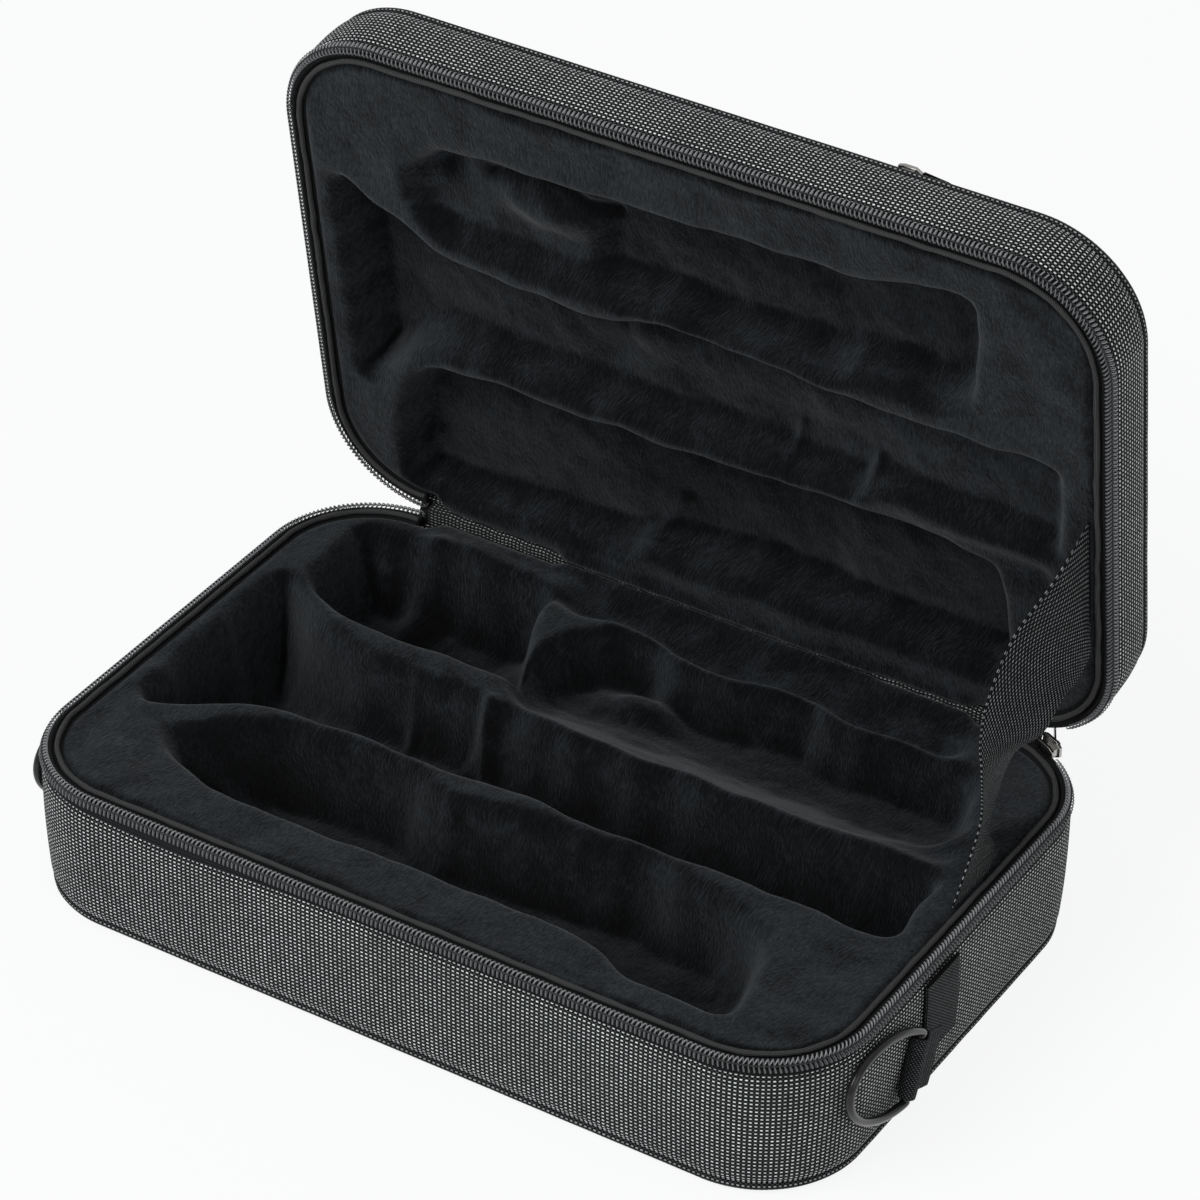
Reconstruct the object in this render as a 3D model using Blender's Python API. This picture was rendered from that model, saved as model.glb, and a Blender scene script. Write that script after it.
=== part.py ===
"""A soft clarinet case with a zipper round three sides, open as it stands on a table.

X runs along the long side, Y from the front to the hinge and Z up. The origin is the
centre of the underside. Both halves are built shut, by height from the plane where the
two rims meet, and the lid then hangs on an empty that is turned open about the hinge.
"""
import math

import bmesh
import bpy
import numpy as np
from mathutils import Matrix, Vector

# Overall size, in metres, and the lid's opening in degrees
CASE_LENGTH = 0.360
CASE_DEPTH = 0.232
CORNER_RADIUS = 0.045
BASE_HEIGHT = 0.0644
LID_HEIGHT = 0.0343
OPEN_ANGLE = 81.0
GAP = 0.0003
CORNER_STEPS = 7

# Shell: woven walls over a stiff board, drawn in a little towards the outer face
WALL_THICKNESS = 0.0025
PANEL_THICKNESS = 0.0030
BASE_TAPER = 0.0015
LID_TAPER = 0.0006
WALL_BOW = 0.0007
PIPING_RADIUS = 0.0022
PIPING_INSET = 0.0026
PIPING_SIDES = 8

# Rim: zipper tape folded over the wall, the coil on it and a bound edge inside
COIL_CLEARANCE = 0.0003
COIL_HEIGHT = 0.0026
COIL_OUTER = 0.0006
COIL_INNER = 0.0062
TAPE_THICKNESS = 0.0008
TAPE_OUTER = 0.0002
TAPE_DROP = 0.0048
BINDING_RADIUS = 0.0011
BINDING_SIDES = 6
ZIP_END_RIGHT = 36.0
TAPE_END = 1.0

# Hinge: a strip of the same cloth between the two spines
AXIS_INSET = 0.0011
AXIS_RISE = 0.0013
HINGE_CLOTH = 0.0012
HINGE_END_GAP = 0.0012

# Trays: moulded foam under a plush skin, in three lanes from front to back
LINER_DROP = 0.0022
LINER_THICKNESS = 0.0026
BASE_RECESS = 0.0480
LID_RECESS = 0.0232
LANE_SHARES = (-1.0, -0.88, -0.5, 0.5, 0.88, 1.0)
LANE_POWER = 4.0
HINGE_LEDGE = 0.0058
HINGE_LEDGE_SHARE = 0.705
STILL_COLUMN_SHARE = 0.73
BORDER_SHARES = (0.30, 0.56, 0.78, 0.93)
EDGE_SOFTNESS = 1.1
SOFT_DEPTH = 0.006
CORNER_EASE = 3.0

# Stay strap of webbing from the lid's right rim to the base's right rim
STRAP_THICKNESS = 0.0014
STRAP_LID_FRONT = -0.0050
STRAP_LID_BACK = 0.0510
STRAP_BASE_FRONT = 0.0050
STRAP_BASE_BACK = 0.0330
STRAP_SAG = 0.0166
STRAP_STEPS = 3
STRAP_ACROSS = 5

# D-rings and their webbing on both ends
RING_WIDTH = 0.037
RING_DEPTH = 0.050
RING_CENTRE_SHARE = 0.35
RING_WIRE = 0.0036
RING_SIDES = 8
RING_Y = -0.0446
RING_Z = 0.0272
RING_TILT = -22.0
RING_SWING = -3.0
TAB_WIDTH = 0.0240
TAB_THICKNESS = 0.0013
TAB_SKEW = 0.0002
TAB_SHOULDER = 0.0015
TAB_MEET = 0.0110
TAB_TAIL = 0.0200
ANCHOR_Y = -0.0210
ANCHOR_LOW = 0.0235

# Main zipper slider, parked past the right end of the zipper
SLIDER_ANGLE = 26.0
SLIDER_LENGTH = 0.0110
SLIDER_WIDTH = 0.0076
SLIDER_PLATE = 0.0012
SLIDER_BACK_WIDTH = 0.0050
SLIDER_CORE = 0.0024
SLIDER_PROUD = 0.0016
BRIDGE_LENGTH = 0.0070
BRIDGE_WIDTH = 0.0022
BRIDGE_RISE = 0.0031
BRIDGE_WIRE = 0.0008
PULL_HANG = 0.0020
PULL_REST = 145.0
PULL_BAR = 0.0005
PULL_HOLE = 0.00375
PULL_LENGTH = 0.0127
PULL_WIDTH = 0.0050
PULL_THICKNESS = 0.0008

# Pocket on the lid's outer face
POCKET_LENGTH = 0.326
POCKET_DEPTH = 0.203
POCKET_Y = 0.0020
POCKET_RADIUS = 0.036
POCKET_RISE = 0.0040
POCKET_CROWN = 0.0170
POCKET_CLOTH = 0.0016
POCKET_PIPING = 0.0015
POCKET_RING_SHARES = (1.0, 0.985, 0.90, 0.70, 0.40)
POCKET_ZIP_LENGTH = 0.270
POCKET_TAPE_WIDTH = 0.0086
POCKET_TAPE = 0.0007
POCKET_COIL_WIDTH = 0.0044
POCKET_COIL_HEIGHT = 0.0018
POCKET_SLIDER_SHARE = 0.2889
POCKET_SLIDER_LENGTH = 0.0100
POCKET_SLIDER_WIDTH = 0.0078
POCKET_SLIDER_TOP = 0.0014
POCKET_PULL_LENGTH = 0.0200
POCKET_PULL_WIDTH = 0.0080

# Carry handle and its lugs on the spine
HANDLE_SPAN = 0.116
HANDLE_Z = 0.0440
HANDLE_DROP = 0.0330
HANDLE_GRIP_SPAN = 0.084
HANDLE_THICK = 0.0070
HANDLE_WIDE = 0.0088
HANDLE_NECK = 0.0042
HANDLE_STAND = 0.0098
PIN_RADIUS = 0.0024
PIN_LENGTH = 0.0090
LUG_BORE = 0.0029
LUG_RADIUS = 0.0058
LUG_WIDTH = 0.0080
LUG_PLATE = 0.0020
LUG_PLATE_LENGTH = 0.0260
LUG_PLATE_HEIGHT = 0.0200

# The places of the tray's recesses. Columns and lane rows are shares of the case's half
# length and half depth, depths are shares of BASE_RECESS or LID_RECESS, and the last
# value tips a lane's floor towards the hinge. Rows are: x, front edge, back edge, depth, tip.
COLUMN_SHARES = (-0.900, -0.872, -0.811, -0.733, -0.656, -0.578, -0.489, -0.389, -0.300, -0.256,
                 -0.200, -0.111, 0.0, 0.111, 0.222, 0.333, 0.444, 0.544, 0.633, 0.700, 0.728,
                 0.783, 0.833, 0.872, 0.894)
BASE_FRONT_SHARES = (
    (-0.872, -0.66, -0.50, 0.00, 0.0), (-0.811, -0.62, -0.46, 0.00, 0.0),
    (-0.733, -0.60, -0.43, 0.18, 0.0),
    (-0.656, -0.63, -0.37, 0.50, 0.0), (-0.578, -0.68, -0.33, 0.69, 0.0),
    (-0.489, -0.69, -0.29, 0.75, 0.0), (-0.256, -0.685, -0.27, 0.75, 0.0),
    (0.000, -0.68, -0.285, 0.75, 0.0), (0.333, -0.68, -0.27, 0.75, 0.0),
    (0.444, -0.72, -0.275, 0.73, 0.0), (0.544, -0.77, -0.285, 0.69, 0.0),
    (0.633, -0.775, -0.34, 0.62, 0.0), (0.700, -0.775, -0.44, 0.54, 0.0),
    (0.728, -0.77, -0.47, 0.00, 0.0))
BASE_MIDDLE_SHARES = (
    (-0.900, -0.41, 0.41, 0.00, 0.0), (-0.872, -0.405, 0.405, 1.00, 0.0),
    (-0.811, -0.355, 0.355, 0.98, 0.0), (-0.733, -0.27, 0.27, 0.87, 0.0),
    (-0.656, -0.21, 0.215, 0.75, 0.0), (-0.578, -0.19, 0.195, 0.69, 0.0),
    (-0.389, -0.18, 0.175, 0.67, 0.0), (-0.256, -0.177, 0.145, 0.65, 0.0),
    (0.000, -0.17, 0.165, 0.67, 0.0), (0.333, -0.165, 0.145, 0.67, 0.0),
    (0.544, -0.165, 0.165, 0.67, 0.0), (0.872, -0.155, 0.15, 0.60, 0.0),
    (0.894, -0.15, 0.145, 0.00, 0.0))
BASE_BACK_SHARES = (
    (-0.872, 0.55, 0.78, 0.00, 0.0), (-0.811, 0.48, 0.81, 0.45, 0.0),
    (-0.733, 0.41, 0.83, 0.71, 0.0),
    (-0.656, 0.375, 0.84, 0.75, 0.0), (-0.389, 0.355, 0.835, 0.75, 0.0),
    (-0.300, 0.35, 0.79, 0.66, 0.0), (-0.256, 0.34, 0.75, 0.29, 0.4),
    (-0.200, 0.265, 0.775, 0.56, 0.6), (0.000, 0.235, 0.755, 0.60, 0.6),
    (0.333, 0.215, 0.775, 0.60, 0.6), (0.444, 0.22, 0.735, 0.60, 0.6),
    (0.700, 0.215, 0.74, 0.54, 0.6), (0.783, 0.28, 0.61, 0.38, 0.5),
    (0.833, 0.34, 0.52, 0.00, 0.0))
LID_FRONT_SHARES = (
    (-0.733, -0.60, -0.45, 0.00, 0.0), (-0.700, -0.655, -0.36, 0.58, 0.0),
    (-0.578, -0.69, -0.285, 0.78, 0.0), (-0.256, -0.69, -0.26, 0.86, 0.0),
    (0.333, -0.69, -0.24, 0.88, 0.0), (0.544, -0.76, -0.25, 0.88, 0.0),
    (0.633, -0.76, -0.31, 0.83, 0.0), (0.700, -0.76, -0.36, 0.00, 0.0))
LID_MIDDLE_SHARES = (
    (-0.900, -0.40, 0.45, 0.00, 0.0), (-0.872, -0.39, 0.44, 1.00, 0.0),
    (-0.811, -0.345, 0.39, 1.00, 0.0), (-0.733, -0.275, 0.33, 0.97, 0.0),
    (-0.656, -0.21, 0.27, 0.88, 0.0), (-0.578, -0.19, 0.25, 0.83, 0.0),
    (0.333, -0.19, 0.24, 0.80, 0.0), (0.444, -0.175, 0.21, 0.72, 0.0),
    (0.872, -0.17, 0.18, 0.70, 0.0), (0.894, -0.17, 0.175, 0.00, 0.0))
LID_BACK_SHARES = (
    (-0.872, 0.54, 0.81, 0.00, 0.0), (-0.811, 0.48, 0.84, 0.60, 0.0),
    (-0.733, 0.40, 0.86, 0.73, 0.0), (-0.656, 0.36, 0.86, 0.75, 0.0),
    (-0.200, 0.33, 0.86, 0.75, 0.0), (-0.111, 0.33, 0.84, 0.93, 0.2),
    (0.000, 0.32, 0.83, 1.00, 0.25), (0.700, 0.32, 0.82, 1.00, 0.25),
    (0.728, 0.34, 0.78, 0.88, 0.2), (0.783, 0.40, 0.72, 0.00, 0.0))

# The stay strap's two edges between its sewn ends. For the edge nearer the front and then for
# the other one: how far it hangs inwards as a share of STRAP_SAG, and its Y and its height
# over the base's rim as shares of the case's depth
STRAP_EDGE_SHARES = (
    (0.349, 0.3586, 0.4254, -0.084, 0.4440, 0.2440), (0.892, 0.3009, 0.3306, -0.102, 0.4004, 0.2159),
    (1.000, 0.2422, 0.2440, -0.084, 0.3539, 0.2052), (0.765, 0.1892, 0.1987, 0.006, 0.3009, 0.1647),
    (0.349, 0.1427, 0.1754, 0.392, 0.2500, 0.1384), (0.283, 0.1427, 0.0871, 0.657, 0.2280, 0.0095),
    (0.114, 0.0871, 0.0453, 0.283, 0.1940, -0.0013))

HALF_LENGTH = CASE_LENGTH / 2
HALF_DEPTH = CASE_DEPTH / 2
CORNER_X = HALF_LENGTH - CORNER_RADIUS
CORNER_Y = HALF_DEPTH - CORNER_RADIUS
TAPE_TOP = COIL_CLEARANCE + COIL_HEIGHT + GAP
TAPE_LOW = TAPE_TOP + TAPE_DROP
WALL_TOP = TAPE_LOW + GAP
BINDING_OFFSET = COIL_INNER + GAP + BINDING_RADIUS
LINER_OFFSET = BINDING_OFFSET + BINDING_RADIUS + GAP
TAPE_INNER = LINER_OFFSET - GAP - GAP
AXIS_Y = HALF_DEPTH - AXIS_INSET
AXIS_Z = BASE_HEIGHT + AXIS_RISE


def remove_everything():
    """Start from an empty file, whatever it held."""
    for thing in list(bpy.data.objects):
        bpy.data.objects.remove(thing, do_unlink=True)


def material(name, colour, roughness, metallic=0.0):
    """One Principled material per kind of finish."""
    made = bpy.data.materials.get(name)
    if made is None:
        made = bpy.data.materials.new(name)
        made.use_nodes = True
        shader = made.node_tree.nodes["Principled BSDF"]
        shader.inputs["Base Color"].default_value = (*colour, 1.0)
        shader.inputs["Roughness"].default_value = roughness
        shader.inputs["Metallic"].default_value = metallic
    return made


def woven():
    return material("woven_cloth", (0.055, 0.057, 0.060), 0.85)


def plush():
    return material("plush", (0.016, 0.018, 0.021), 0.95)


def foam():
    return material("foam", (0.45, 0.45, 0.44), 0.90)


def nylon():
    return material("nylon_tape", (0.012, 0.013, 0.014), 0.70)


def coil_finish():
    return material("coil", (0.028, 0.029, 0.031), 0.40)


def webbing():
    return material("webbing", (0.020, 0.021, 0.022), 0.75)


def nickel():
    return material("nickel", (0.55, 0.54, 0.52), 0.25, 1.0)


def black_metal():
    return material("black_metal", (0.035, 0.036, 0.038), 0.30, 0.8)


def moulded():
    return material("moulded_plastic", (0.022, 0.022, 0.023), 0.50)


def add_mesh(name, verts, faces, finish, parent=None, smooth=30.0):
    """A named object from points and faces, every face turned outwards."""
    mesh = bpy.data.meshes.new(name)
    mesh.from_pydata([tuple(map(float, v)) for v in verts], [], [tuple(map(int, f)) for f in faces])
    work = bmesh.new()
    work.from_mesh(mesh)
    bmesh.ops.recalc_face_normals(work, faces=work.faces)
    work.to_mesh(mesh)
    work.free()
    mesh.shade_smooth()
    mesh.set_sharp_from_angle(angle=math.radians(smooth))
    mesh.materials.append(finish)
    made = bpy.data.objects.new(name, mesh)
    bpy.context.scene.collection.objects.link(made)
    if parent is not None:
        made.parent = parent
    return made


def add_axis(name, place, turn=(0.0, 0.0, 0.0), parent=None):
    """An empty on a joint's axis, to which the moving pieces are parented."""
    axis = bpy.data.objects.new(name, None)
    bpy.context.scene.collection.objects.link(axis)
    axis.location = place
    axis.rotation_euler = turn
    if parent is not None:
        axis.parent = parent
    return axis


def unite(target, tool):
    """Fuse a second closed solid into the first, as one piece."""
    join = target.modifiers.new("join", "BOOLEAN")
    join.operation = "UNION"
    join.solver = "EXACT"
    join.object = tool
    tool.hide_render = True
    tool.display_type = "WIRE"


def corner_sweep(corner_x, corner_y, quadrant, first, last, steps):
    """Stations on one corner: its centre and the directions from first to last degrees."""
    sign_x, sign_y = ((1, 1), (-1, 1), (-1, -1), (1, -1))[quadrant]
    angles = np.radians(np.linspace(first, last, steps + 1))
    centre = np.tile((sign_x * corner_x, sign_y * corner_y), (steps + 1, 1))
    return np.column_stack([centre, np.cos(angles), np.sin(angles)])


def loop_stations(corner_x=CORNER_X, corner_y=CORNER_Y, steps=CORNER_STEPS):
    """The whole outline, counter-clockwise from the right-hand end of the back."""
    quarters = [corner_sweep(corner_x, corner_y, k, 90 * k, 90 * k + 90, steps) for k in range(4)]
    return np.vstack(quarters)


def zip_stations(right_end):
    """The zipped part: from the back right corner, round the front, to the back left."""
    right_back = corner_sweep(CORNER_X, CORNER_Y, 0, 90 - right_end, 0, CORNER_STEPS)
    right_front = corner_sweep(CORNER_X, CORNER_Y, 3, 0, -90, CORNER_STEPS)
    left_front = corner_sweep(CORNER_X, CORNER_Y, 2, -90, -180, CORNER_STEPS)
    left_back = corner_sweep(CORNER_X, CORNER_Y, 1, 180, 90 + TAPE_END, CORNER_STEPS)
    return np.vstack([right_back, right_front, left_front, left_back])


def at_offset(stations, offset, radius=CORNER_RADIUS):
    """Points of an outline drawn in by offset from its outer line."""
    return stations[:, :2] + (radius - offset) * stations[:, 2:]


def swept(name, stations, profile, finish, parent, closed=True, radius=CORNER_RADIUS):
    """Carry a closed profile of (offset, height) points along the stations."""
    rings = []
    for offset, height in profile:
        flat = at_offset(stations, offset, radius)
        rings.append(np.column_stack([flat, np.full(len(flat), height)]))
    points = np.stack(rings, axis=1)
    count, sides = points.shape[:2]
    verts = points.reshape(-1, 3)
    faces = []
    for i in range(count if closed else count - 1):
        following = (i + 1) % count
        for j in range(sides):
            other = (j + 1) % sides
            faces.append((i * sides + j, following * sides + j, following * sides + other, i * sides + other))
    if not closed:
        faces.append(tuple(range(sides)))
        faces.append(tuple((count - 1) * sides + j for j in range(sides)))
    return add_mesh(name, verts, faces, finish, parent)


def circle_profile(offset, height, radius, sides):
    """A round cord's section, with a flat turned to each side."""
    turn = math.pi / sides
    angles = [2 * math.pi * k / sides + turn for k in range(sides)]
    return [(offset + radius * math.cos(a), height + radius * math.sin(a)) for a in angles]


def slab(name, stations, offset, low, high, finish, parent, radius=CORNER_RADIUS):
    """A flat board with the outline's shape between two heights."""
    flat = at_offset(stations, offset, radius)
    count = len(flat)
    verts = np.vstack([np.column_stack([flat, np.full(count, low)]),
                       np.column_stack([flat, np.full(count, high)])])
    faces = [(k, (k + 1) % count, count + (k + 1) % count, count + k) for k in range(count)]
    faces.append(tuple(range(count)))
    faces.append(tuple(range(count, 2 * count)))
    return add_mesh(name, verts, faces, finish, parent)


def block(name, low, high, finish, parent=None):
    """A straight-sided piece between two corners."""
    corners = [(x, y, z) for z in (low[2], high[2]) for y in (low[1], high[1]) for x in (low[0], high[0])]
    faces = [(0, 1, 3, 2), (4, 5, 7, 6), (0, 1, 5, 4), (2, 3, 7, 6), (0, 2, 6, 4), (1, 3, 7, 5)]
    return add_mesh(name, corners, faces, finish, parent)


def tube(name, path, radii, sides, finish, parent=None, closed=False, across=None):
    """Carry an oval section along a path; radii holds (width, height) half sizes per point."""
    path = np.asarray(path, float)
    radii = np.broadcast_to(np.asarray(radii, float), (len(path), 2))
    if closed:
        ahead = np.roll(path, -1, axis=0) - np.roll(path, 1, axis=0)
    else:
        ahead = np.gradient(path, axis=0)
    ahead /= np.linalg.norm(ahead, axis=1)[:, None]
    side = np.cross(ahead, np.asarray(across, float))
    side /= np.linalg.norm(side, axis=1)[:, None]
    up = np.cross(side, ahead)
    angles = 2 * np.pi * np.arange(sides) / sides
    ring = (side[:, None] * (radii[:, :1] * np.cos(angles))[:, :, None]
            + up[:, None] * (radii[:, 1:] * np.sin(angles))[:, :, None])
    verts = (path[:, None] + ring).reshape(-1, 3)
    count = len(path)
    faces = []
    for i in range(count if closed else count - 1):
        following = (i + 1) % count
        for j in range(sides):
            other = (j + 1) % sides
            faces.append((i * sides + j, i * sides + other, following * sides + other, following * sides + j))
    if not closed:
        faces.append(tuple(range(sides)))
        faces.append(tuple((count - 1) * sides + j for j in range(sides)))
    return add_mesh(name, verts, faces, finish, parent, smooth=50.0)


def lane_edges(table, columns):
    """A lane's front edge, back edge, depth and tip at every column, from its table."""
    shares = np.array(table)
    read = [np.interp(columns / HALF_LENGTH, shares[:, 0], shares[:, k]) for k in range(1, 5)]
    return read[0] * HALF_DEPTH, read[1] * HALF_DEPTH, read[2], read[3]


def side_limit(y, offset):
    """How far the drawn-in outline reaches along X at a given Y."""
    radius = CORNER_RADIUS - offset
    past = np.clip(np.abs(y) - CORNER_Y, 0.0, radius)
    return CORNER_X + np.sqrt(radius * radius - past * past)


def tray_surface(tables, recess, offset, back_ledge):
    """The tray's top as a grid of points: lane rows crossed by columns, depths positive."""
    reach = HALF_LENGTH - offset
    inner = np.array(COLUMN_SHARES) * HALF_LENGTH
    columns = np.concatenate([[-reach], inner, [reach]])
    front_limit = np.full(len(columns), offset - HALF_DEPTH)
    back_limit = -front_limit
    lanes = [lane_edges(table, columns) for table in tables]
    level = np.zeros(len(columns))
    rows = [front_limit]
    depths = [level]
    for share in BORDER_SHARES[::-1]:
        rows.append(lanes[0][0] + share * (front_limit - lanes[0][0]))
        depths.append(level)
    for number, (front, back, depth, tip) in enumerate(lanes):
        middle, half = (front + back) / 2, (back - front) / 2
        ease = 1 + CORNER_EASE * (1 - depth / depth.max())
        for share in LANE_SHARES:
            shape = (1 - abs(share) ** LANE_POWER) ** (ease / LANE_POWER)
            rows.append(middle + share * half)
            depths.append(recess * depth * shape * (1 + tip * share) / (1 + tip))
        if number < 2:
            rows.append((back + lanes[number + 1][0]) / 2)
            depths.append(level)
    for share in BORDER_SHARES:
        rows.append(lanes[2][1] + share * (back_limit - lanes[2][1]))
        depths.append(level)
    rows.append(back_limit)
    depths.append(level)
    y = np.array(rows)
    still = STILL_COLUMN_SHARE * HALF_LENGTH
    beyond = (np.abs(columns) - still) / (reach - still)
    limit = side_limit(y, offset)
    x = np.where(beyond > 0, np.sign(columns) * (still + beyond * (limit - still)), columns)
    y[-1] += np.where(np.abs(x[-1]) <= HINGE_LEDGE_SHARE * HALF_LENGTH, back_ledge, 0.0)
    return np.stack([x, y, np.array(depths)], axis=2)


def surface_normals(grid):
    """Unit normals of the recessed surface, pointing out of the foam, upright at its border."""
    down = grid * np.array((1.0, 1.0, -1.0))
    normal = np.cross(np.gradient(down, axis=1), np.gradient(down, axis=0))
    normal /= np.linalg.norm(normal, axis=2)[:, :, None]
    normal *= np.sign(normal[:, :, 2:])
    normal[:, :, 2] += EDGE_SOFTNESS * np.exp(-grid[:, :, 2] / SOFT_DEPTH)
    normal /= np.linalg.norm(normal, axis=2)[:, :, None]
    for edge in (normal[0], normal[-1], normal[:, 0], normal[:, -1]):
        edge[:] = (0.0, 0.0, 1.0)
    return normal


def grid_faces(rows, columns, start):
    """Triangles over a grid of points whose first index is start, all split the same way."""
    faces = []
    for i in range(rows - 1):
        for j in range(columns - 1):
            corner = start + i * columns + j
            faces.append((corner, corner + 1, corner + columns + 1))
            faces.append((corner, corner + columns + 1, corner + columns))
    return faces


def border(rows, columns):
    """The indices round a grid's edge, in order."""
    bottom = [j for j in range(columns)]
    right = [i * columns + columns - 1 for i in range(1, rows)]
    top = [(rows - 1) * columns + j for j in range(columns - 2, -1, -1)]
    left = [i * columns for i in range(rows - 2, 0, -1)]
    return bottom + right + top + left


def make_tray(prefix, half, tables, recess):
    """The moulded foam and the plush skin that lies in it, both following the same recesses."""
    skin = tray_surface(tables, recess, LINER_OFFSET, HINGE_LEDGE)
    normal = surface_normals(skin)
    turn = np.array((1.0, 1.0, -1.0))
    top = skin * turn
    under = top + normal * -LINER_THICKNESS
    rows, columns = skin.shape[:2]
    count = rows * columns
    height = lambda points: half.place(points[:, :2], LINER_DROP - points[:, 2])
    verts = np.vstack([height(top.reshape(-1, 3)), height(under.reshape(-1, 3))])
    edge = border(rows, columns)
    faces = grid_faces(rows, columns, 0) + grid_faces(rows, columns, count)
    faces += [(a, b, b + count, a + count) for a, b in zip(edge, edge[1:] + edge[:1])]
    add_mesh(prefix + "_plush_liner", verts, faces, plush(), half.parent, smooth=60.0)

    wide = tray_surface(tables, recess, WALL_THICKNESS + GAP, 0.0)
    bed = top + normal * -(LINER_THICKNESS + GAP)
    for index in (0, -1):
        bed[index, :, :2] = wide[index, :, :2]
        bed[:, index, :2] = wide[:, index, :2]
    bottom_height = half.height - PANEL_THICKNESS - GAP
    foot_offset = half.taper + PIPING_INSET + PIPING_RADIUS + 3 * GAP
    foot = tray_surface(tables, recess, foot_offset, 0.0).reshape(-1, 3)[edge]
    foot[:, 2] = LINER_DROP - bottom_height
    verts = np.vstack([height(bed.reshape(-1, 3)), height(foot)])
    faces = grid_faces(rows, columns, 0)
    size = len(edge)
    faces += [(edge[k], edge[(k + 1) % size], count + (k + 1) % size, count + k) for k in range(size)]
    faces.append(tuple(range(count, count + size)))
    add_mesh(prefix + "_foam_core", verts, faces, foam(), half.parent, smooth=60.0)


class Half:
    """One half of the case, placed by height from the rim plane outwards."""

    def __init__(self, name, height, taper, sign, parent, origin):
        self.name = name
        self.height = height
        self.taper = taper
        self.sign = sign
        self.parent = parent
        self.origin = origin

    def z(self, height):
        return self.sign * height + (BASE_HEIGHT - self.origin[2])

    def place(self, flat, heights):
        """World or lid-local points from outline points and heights from the rim plane."""
        shifted = np.asarray(flat, float) - np.array(self.origin[:2])
        return np.column_stack([shifted, self.z(np.asarray(heights, float))])

    def stations(self, raw):
        """Stations moved to this half's own origin."""
        moved = raw.copy()
        moved[:, 0] -= self.origin[0]
        moved[:, 1] -= self.origin[1]
        return moved

    def profile(self, points):
        return [(offset, self.z(height)) for offset, height in points]


def make_half(half, tables, recess):
    """Panel, piping, wall, tray, tape, coil and bound edge of one half."""
    loop = half.stations(loop_stations())
    zipped = half.stations(zip_stations(ZIP_END_RIGHT))
    taped = half.stations(zip_stations(TAPE_END))
    parent = half.parent
    face = "_bottom" if half.sign < 0 else "_outer"
    wall_end = half.height - 2 * PIPING_RADIUS - 4 * GAP
    panel_edge = half.taper + PIPING_INSET + PIPING_RADIUS + GAP
    panel = sorted((half.z(half.height - PANEL_THICKNESS), half.z(half.height)))
    slab(half.name + face + "_panel", loop, panel_edge, panel[0], panel[1], woven(), parent)
    piping = circle_profile(half.taper + PIPING_INSET, half.height - PIPING_RADIUS - 3 * GAP,
                            PIPING_RADIUS, PIPING_SIDES)
    swept(half.name + face + "_piping", loop, half.profile(piping), woven(), parent)
    middle = (WALL_TOP + wall_end) / 2
    bowed = half.taper / 2 - WALL_BOW
    wall = [(0.0, WALL_TOP), (bowed, middle), (half.taper, wall_end),
            (half.taper + WALL_THICKNESS, wall_end), (WALL_THICKNESS, WALL_TOP)]
    swept(half.name + "_side_wall", loop, half.profile(wall), woven(), parent)
    make_tray(half.name, half, tables, recess)
    tape = [(TAPE_OUTER, TAPE_LOW), (TAPE_OUTER, TAPE_TOP), (TAPE_INNER, TAPE_TOP),
            (TAPE_INNER, TAPE_TOP + TAPE_THICKNESS), (TAPE_OUTER + TAPE_THICKNESS, TAPE_TOP + TAPE_THICKNESS),
            (TAPE_OUTER + TAPE_THICKNESS, TAPE_LOW)]
    swept(half.name + "_zipper_tape", taped, half.profile(tape), nylon(), parent, closed=False)
    waist = (COIL_OUTER + COIL_INNER) / 2
    low, high = COIL_CLEARANCE, COIL_CLEARANCE + COIL_HEIGHT
    dip = low + COIL_HEIGHT / 4
    coil = [(COIL_OUTER, high), (COIL_OUTER, dip), (COIL_OUTER + COIL_HEIGHT / 3, low), (waist, dip),
            (COIL_INNER - COIL_HEIGHT / 3, low), (COIL_INNER, dip), (COIL_INNER, high)]
    swept(half.name + "_zipper_coil", zipped, half.profile(coil), coil_finish(), parent, closed=False)
    cord = circle_profile(BINDING_OFFSET, TAPE_TOP - GAP - BINDING_RADIUS, BINDING_RADIUS, BINDING_SIDES)
    swept(half.name + "_edge_binding", taped, half.profile(cord), nylon(), parent, closed=False)


def hinge_polygon():
    """The spine cloth's section at rest: up the base, round the axis and along the lid."""
    phi = math.radians(OPEN_ANGLE)
    outside = AXIS_INSET - TAPE_OUTER
    inside = outside - HINGE_CLOTH
    reach = TAPE_LOW - AXIS_RISE

    def opened(dy, dz):
        return (AXIS_Y + dy * math.cos(phi) + dz * math.sin(phi),
                AXIS_Z - dy * math.sin(phi) + dz * math.cos(phi))

    low = BASE_HEIGHT - TAPE_LOW
    turn = math.tan(phi / 2)
    return [(AXIS_Y + outside, low), (AXIS_Y + outside, AXIS_Z - outside * turn), opened(outside, reach),
            opened(inside, reach), (AXIS_Y + inside, AXIS_Z - inside * turn), (AXIS_Y + inside, low)]


def make_hinge_cloth():
    """The strip of cloth that joins the two spines and bends on the axis."""
    section = hinge_polygon()
    end = CORNER_X - HINGE_END_GAP
    verts = [(side * end, y, z) for side in (-1, 1) for y, z in section]
    count = len(section)
    faces = [(k, (k + 1) % count, count + (k + 1) % count, count + k) for k in range(count)]
    faces += [tuple(range(count)), tuple(range(count, 2 * count))]
    add_mesh("hinge_fabric", verts, faces, woven())


def lid_to_world(x, y, height):
    """A point of the shut lid, carried to where it is with the lid open."""
    phi = math.radians(OPEN_ANGLE)
    dy, dz = y - AXIS_Y, BASE_HEIGHT + height - AXIS_Z
    return np.array((x, AXIS_Y + dy * math.cos(phi) + dz * math.sin(phi),
                     AXIS_Z - dy * math.sin(phi) + dz * math.cos(phi)))


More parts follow.
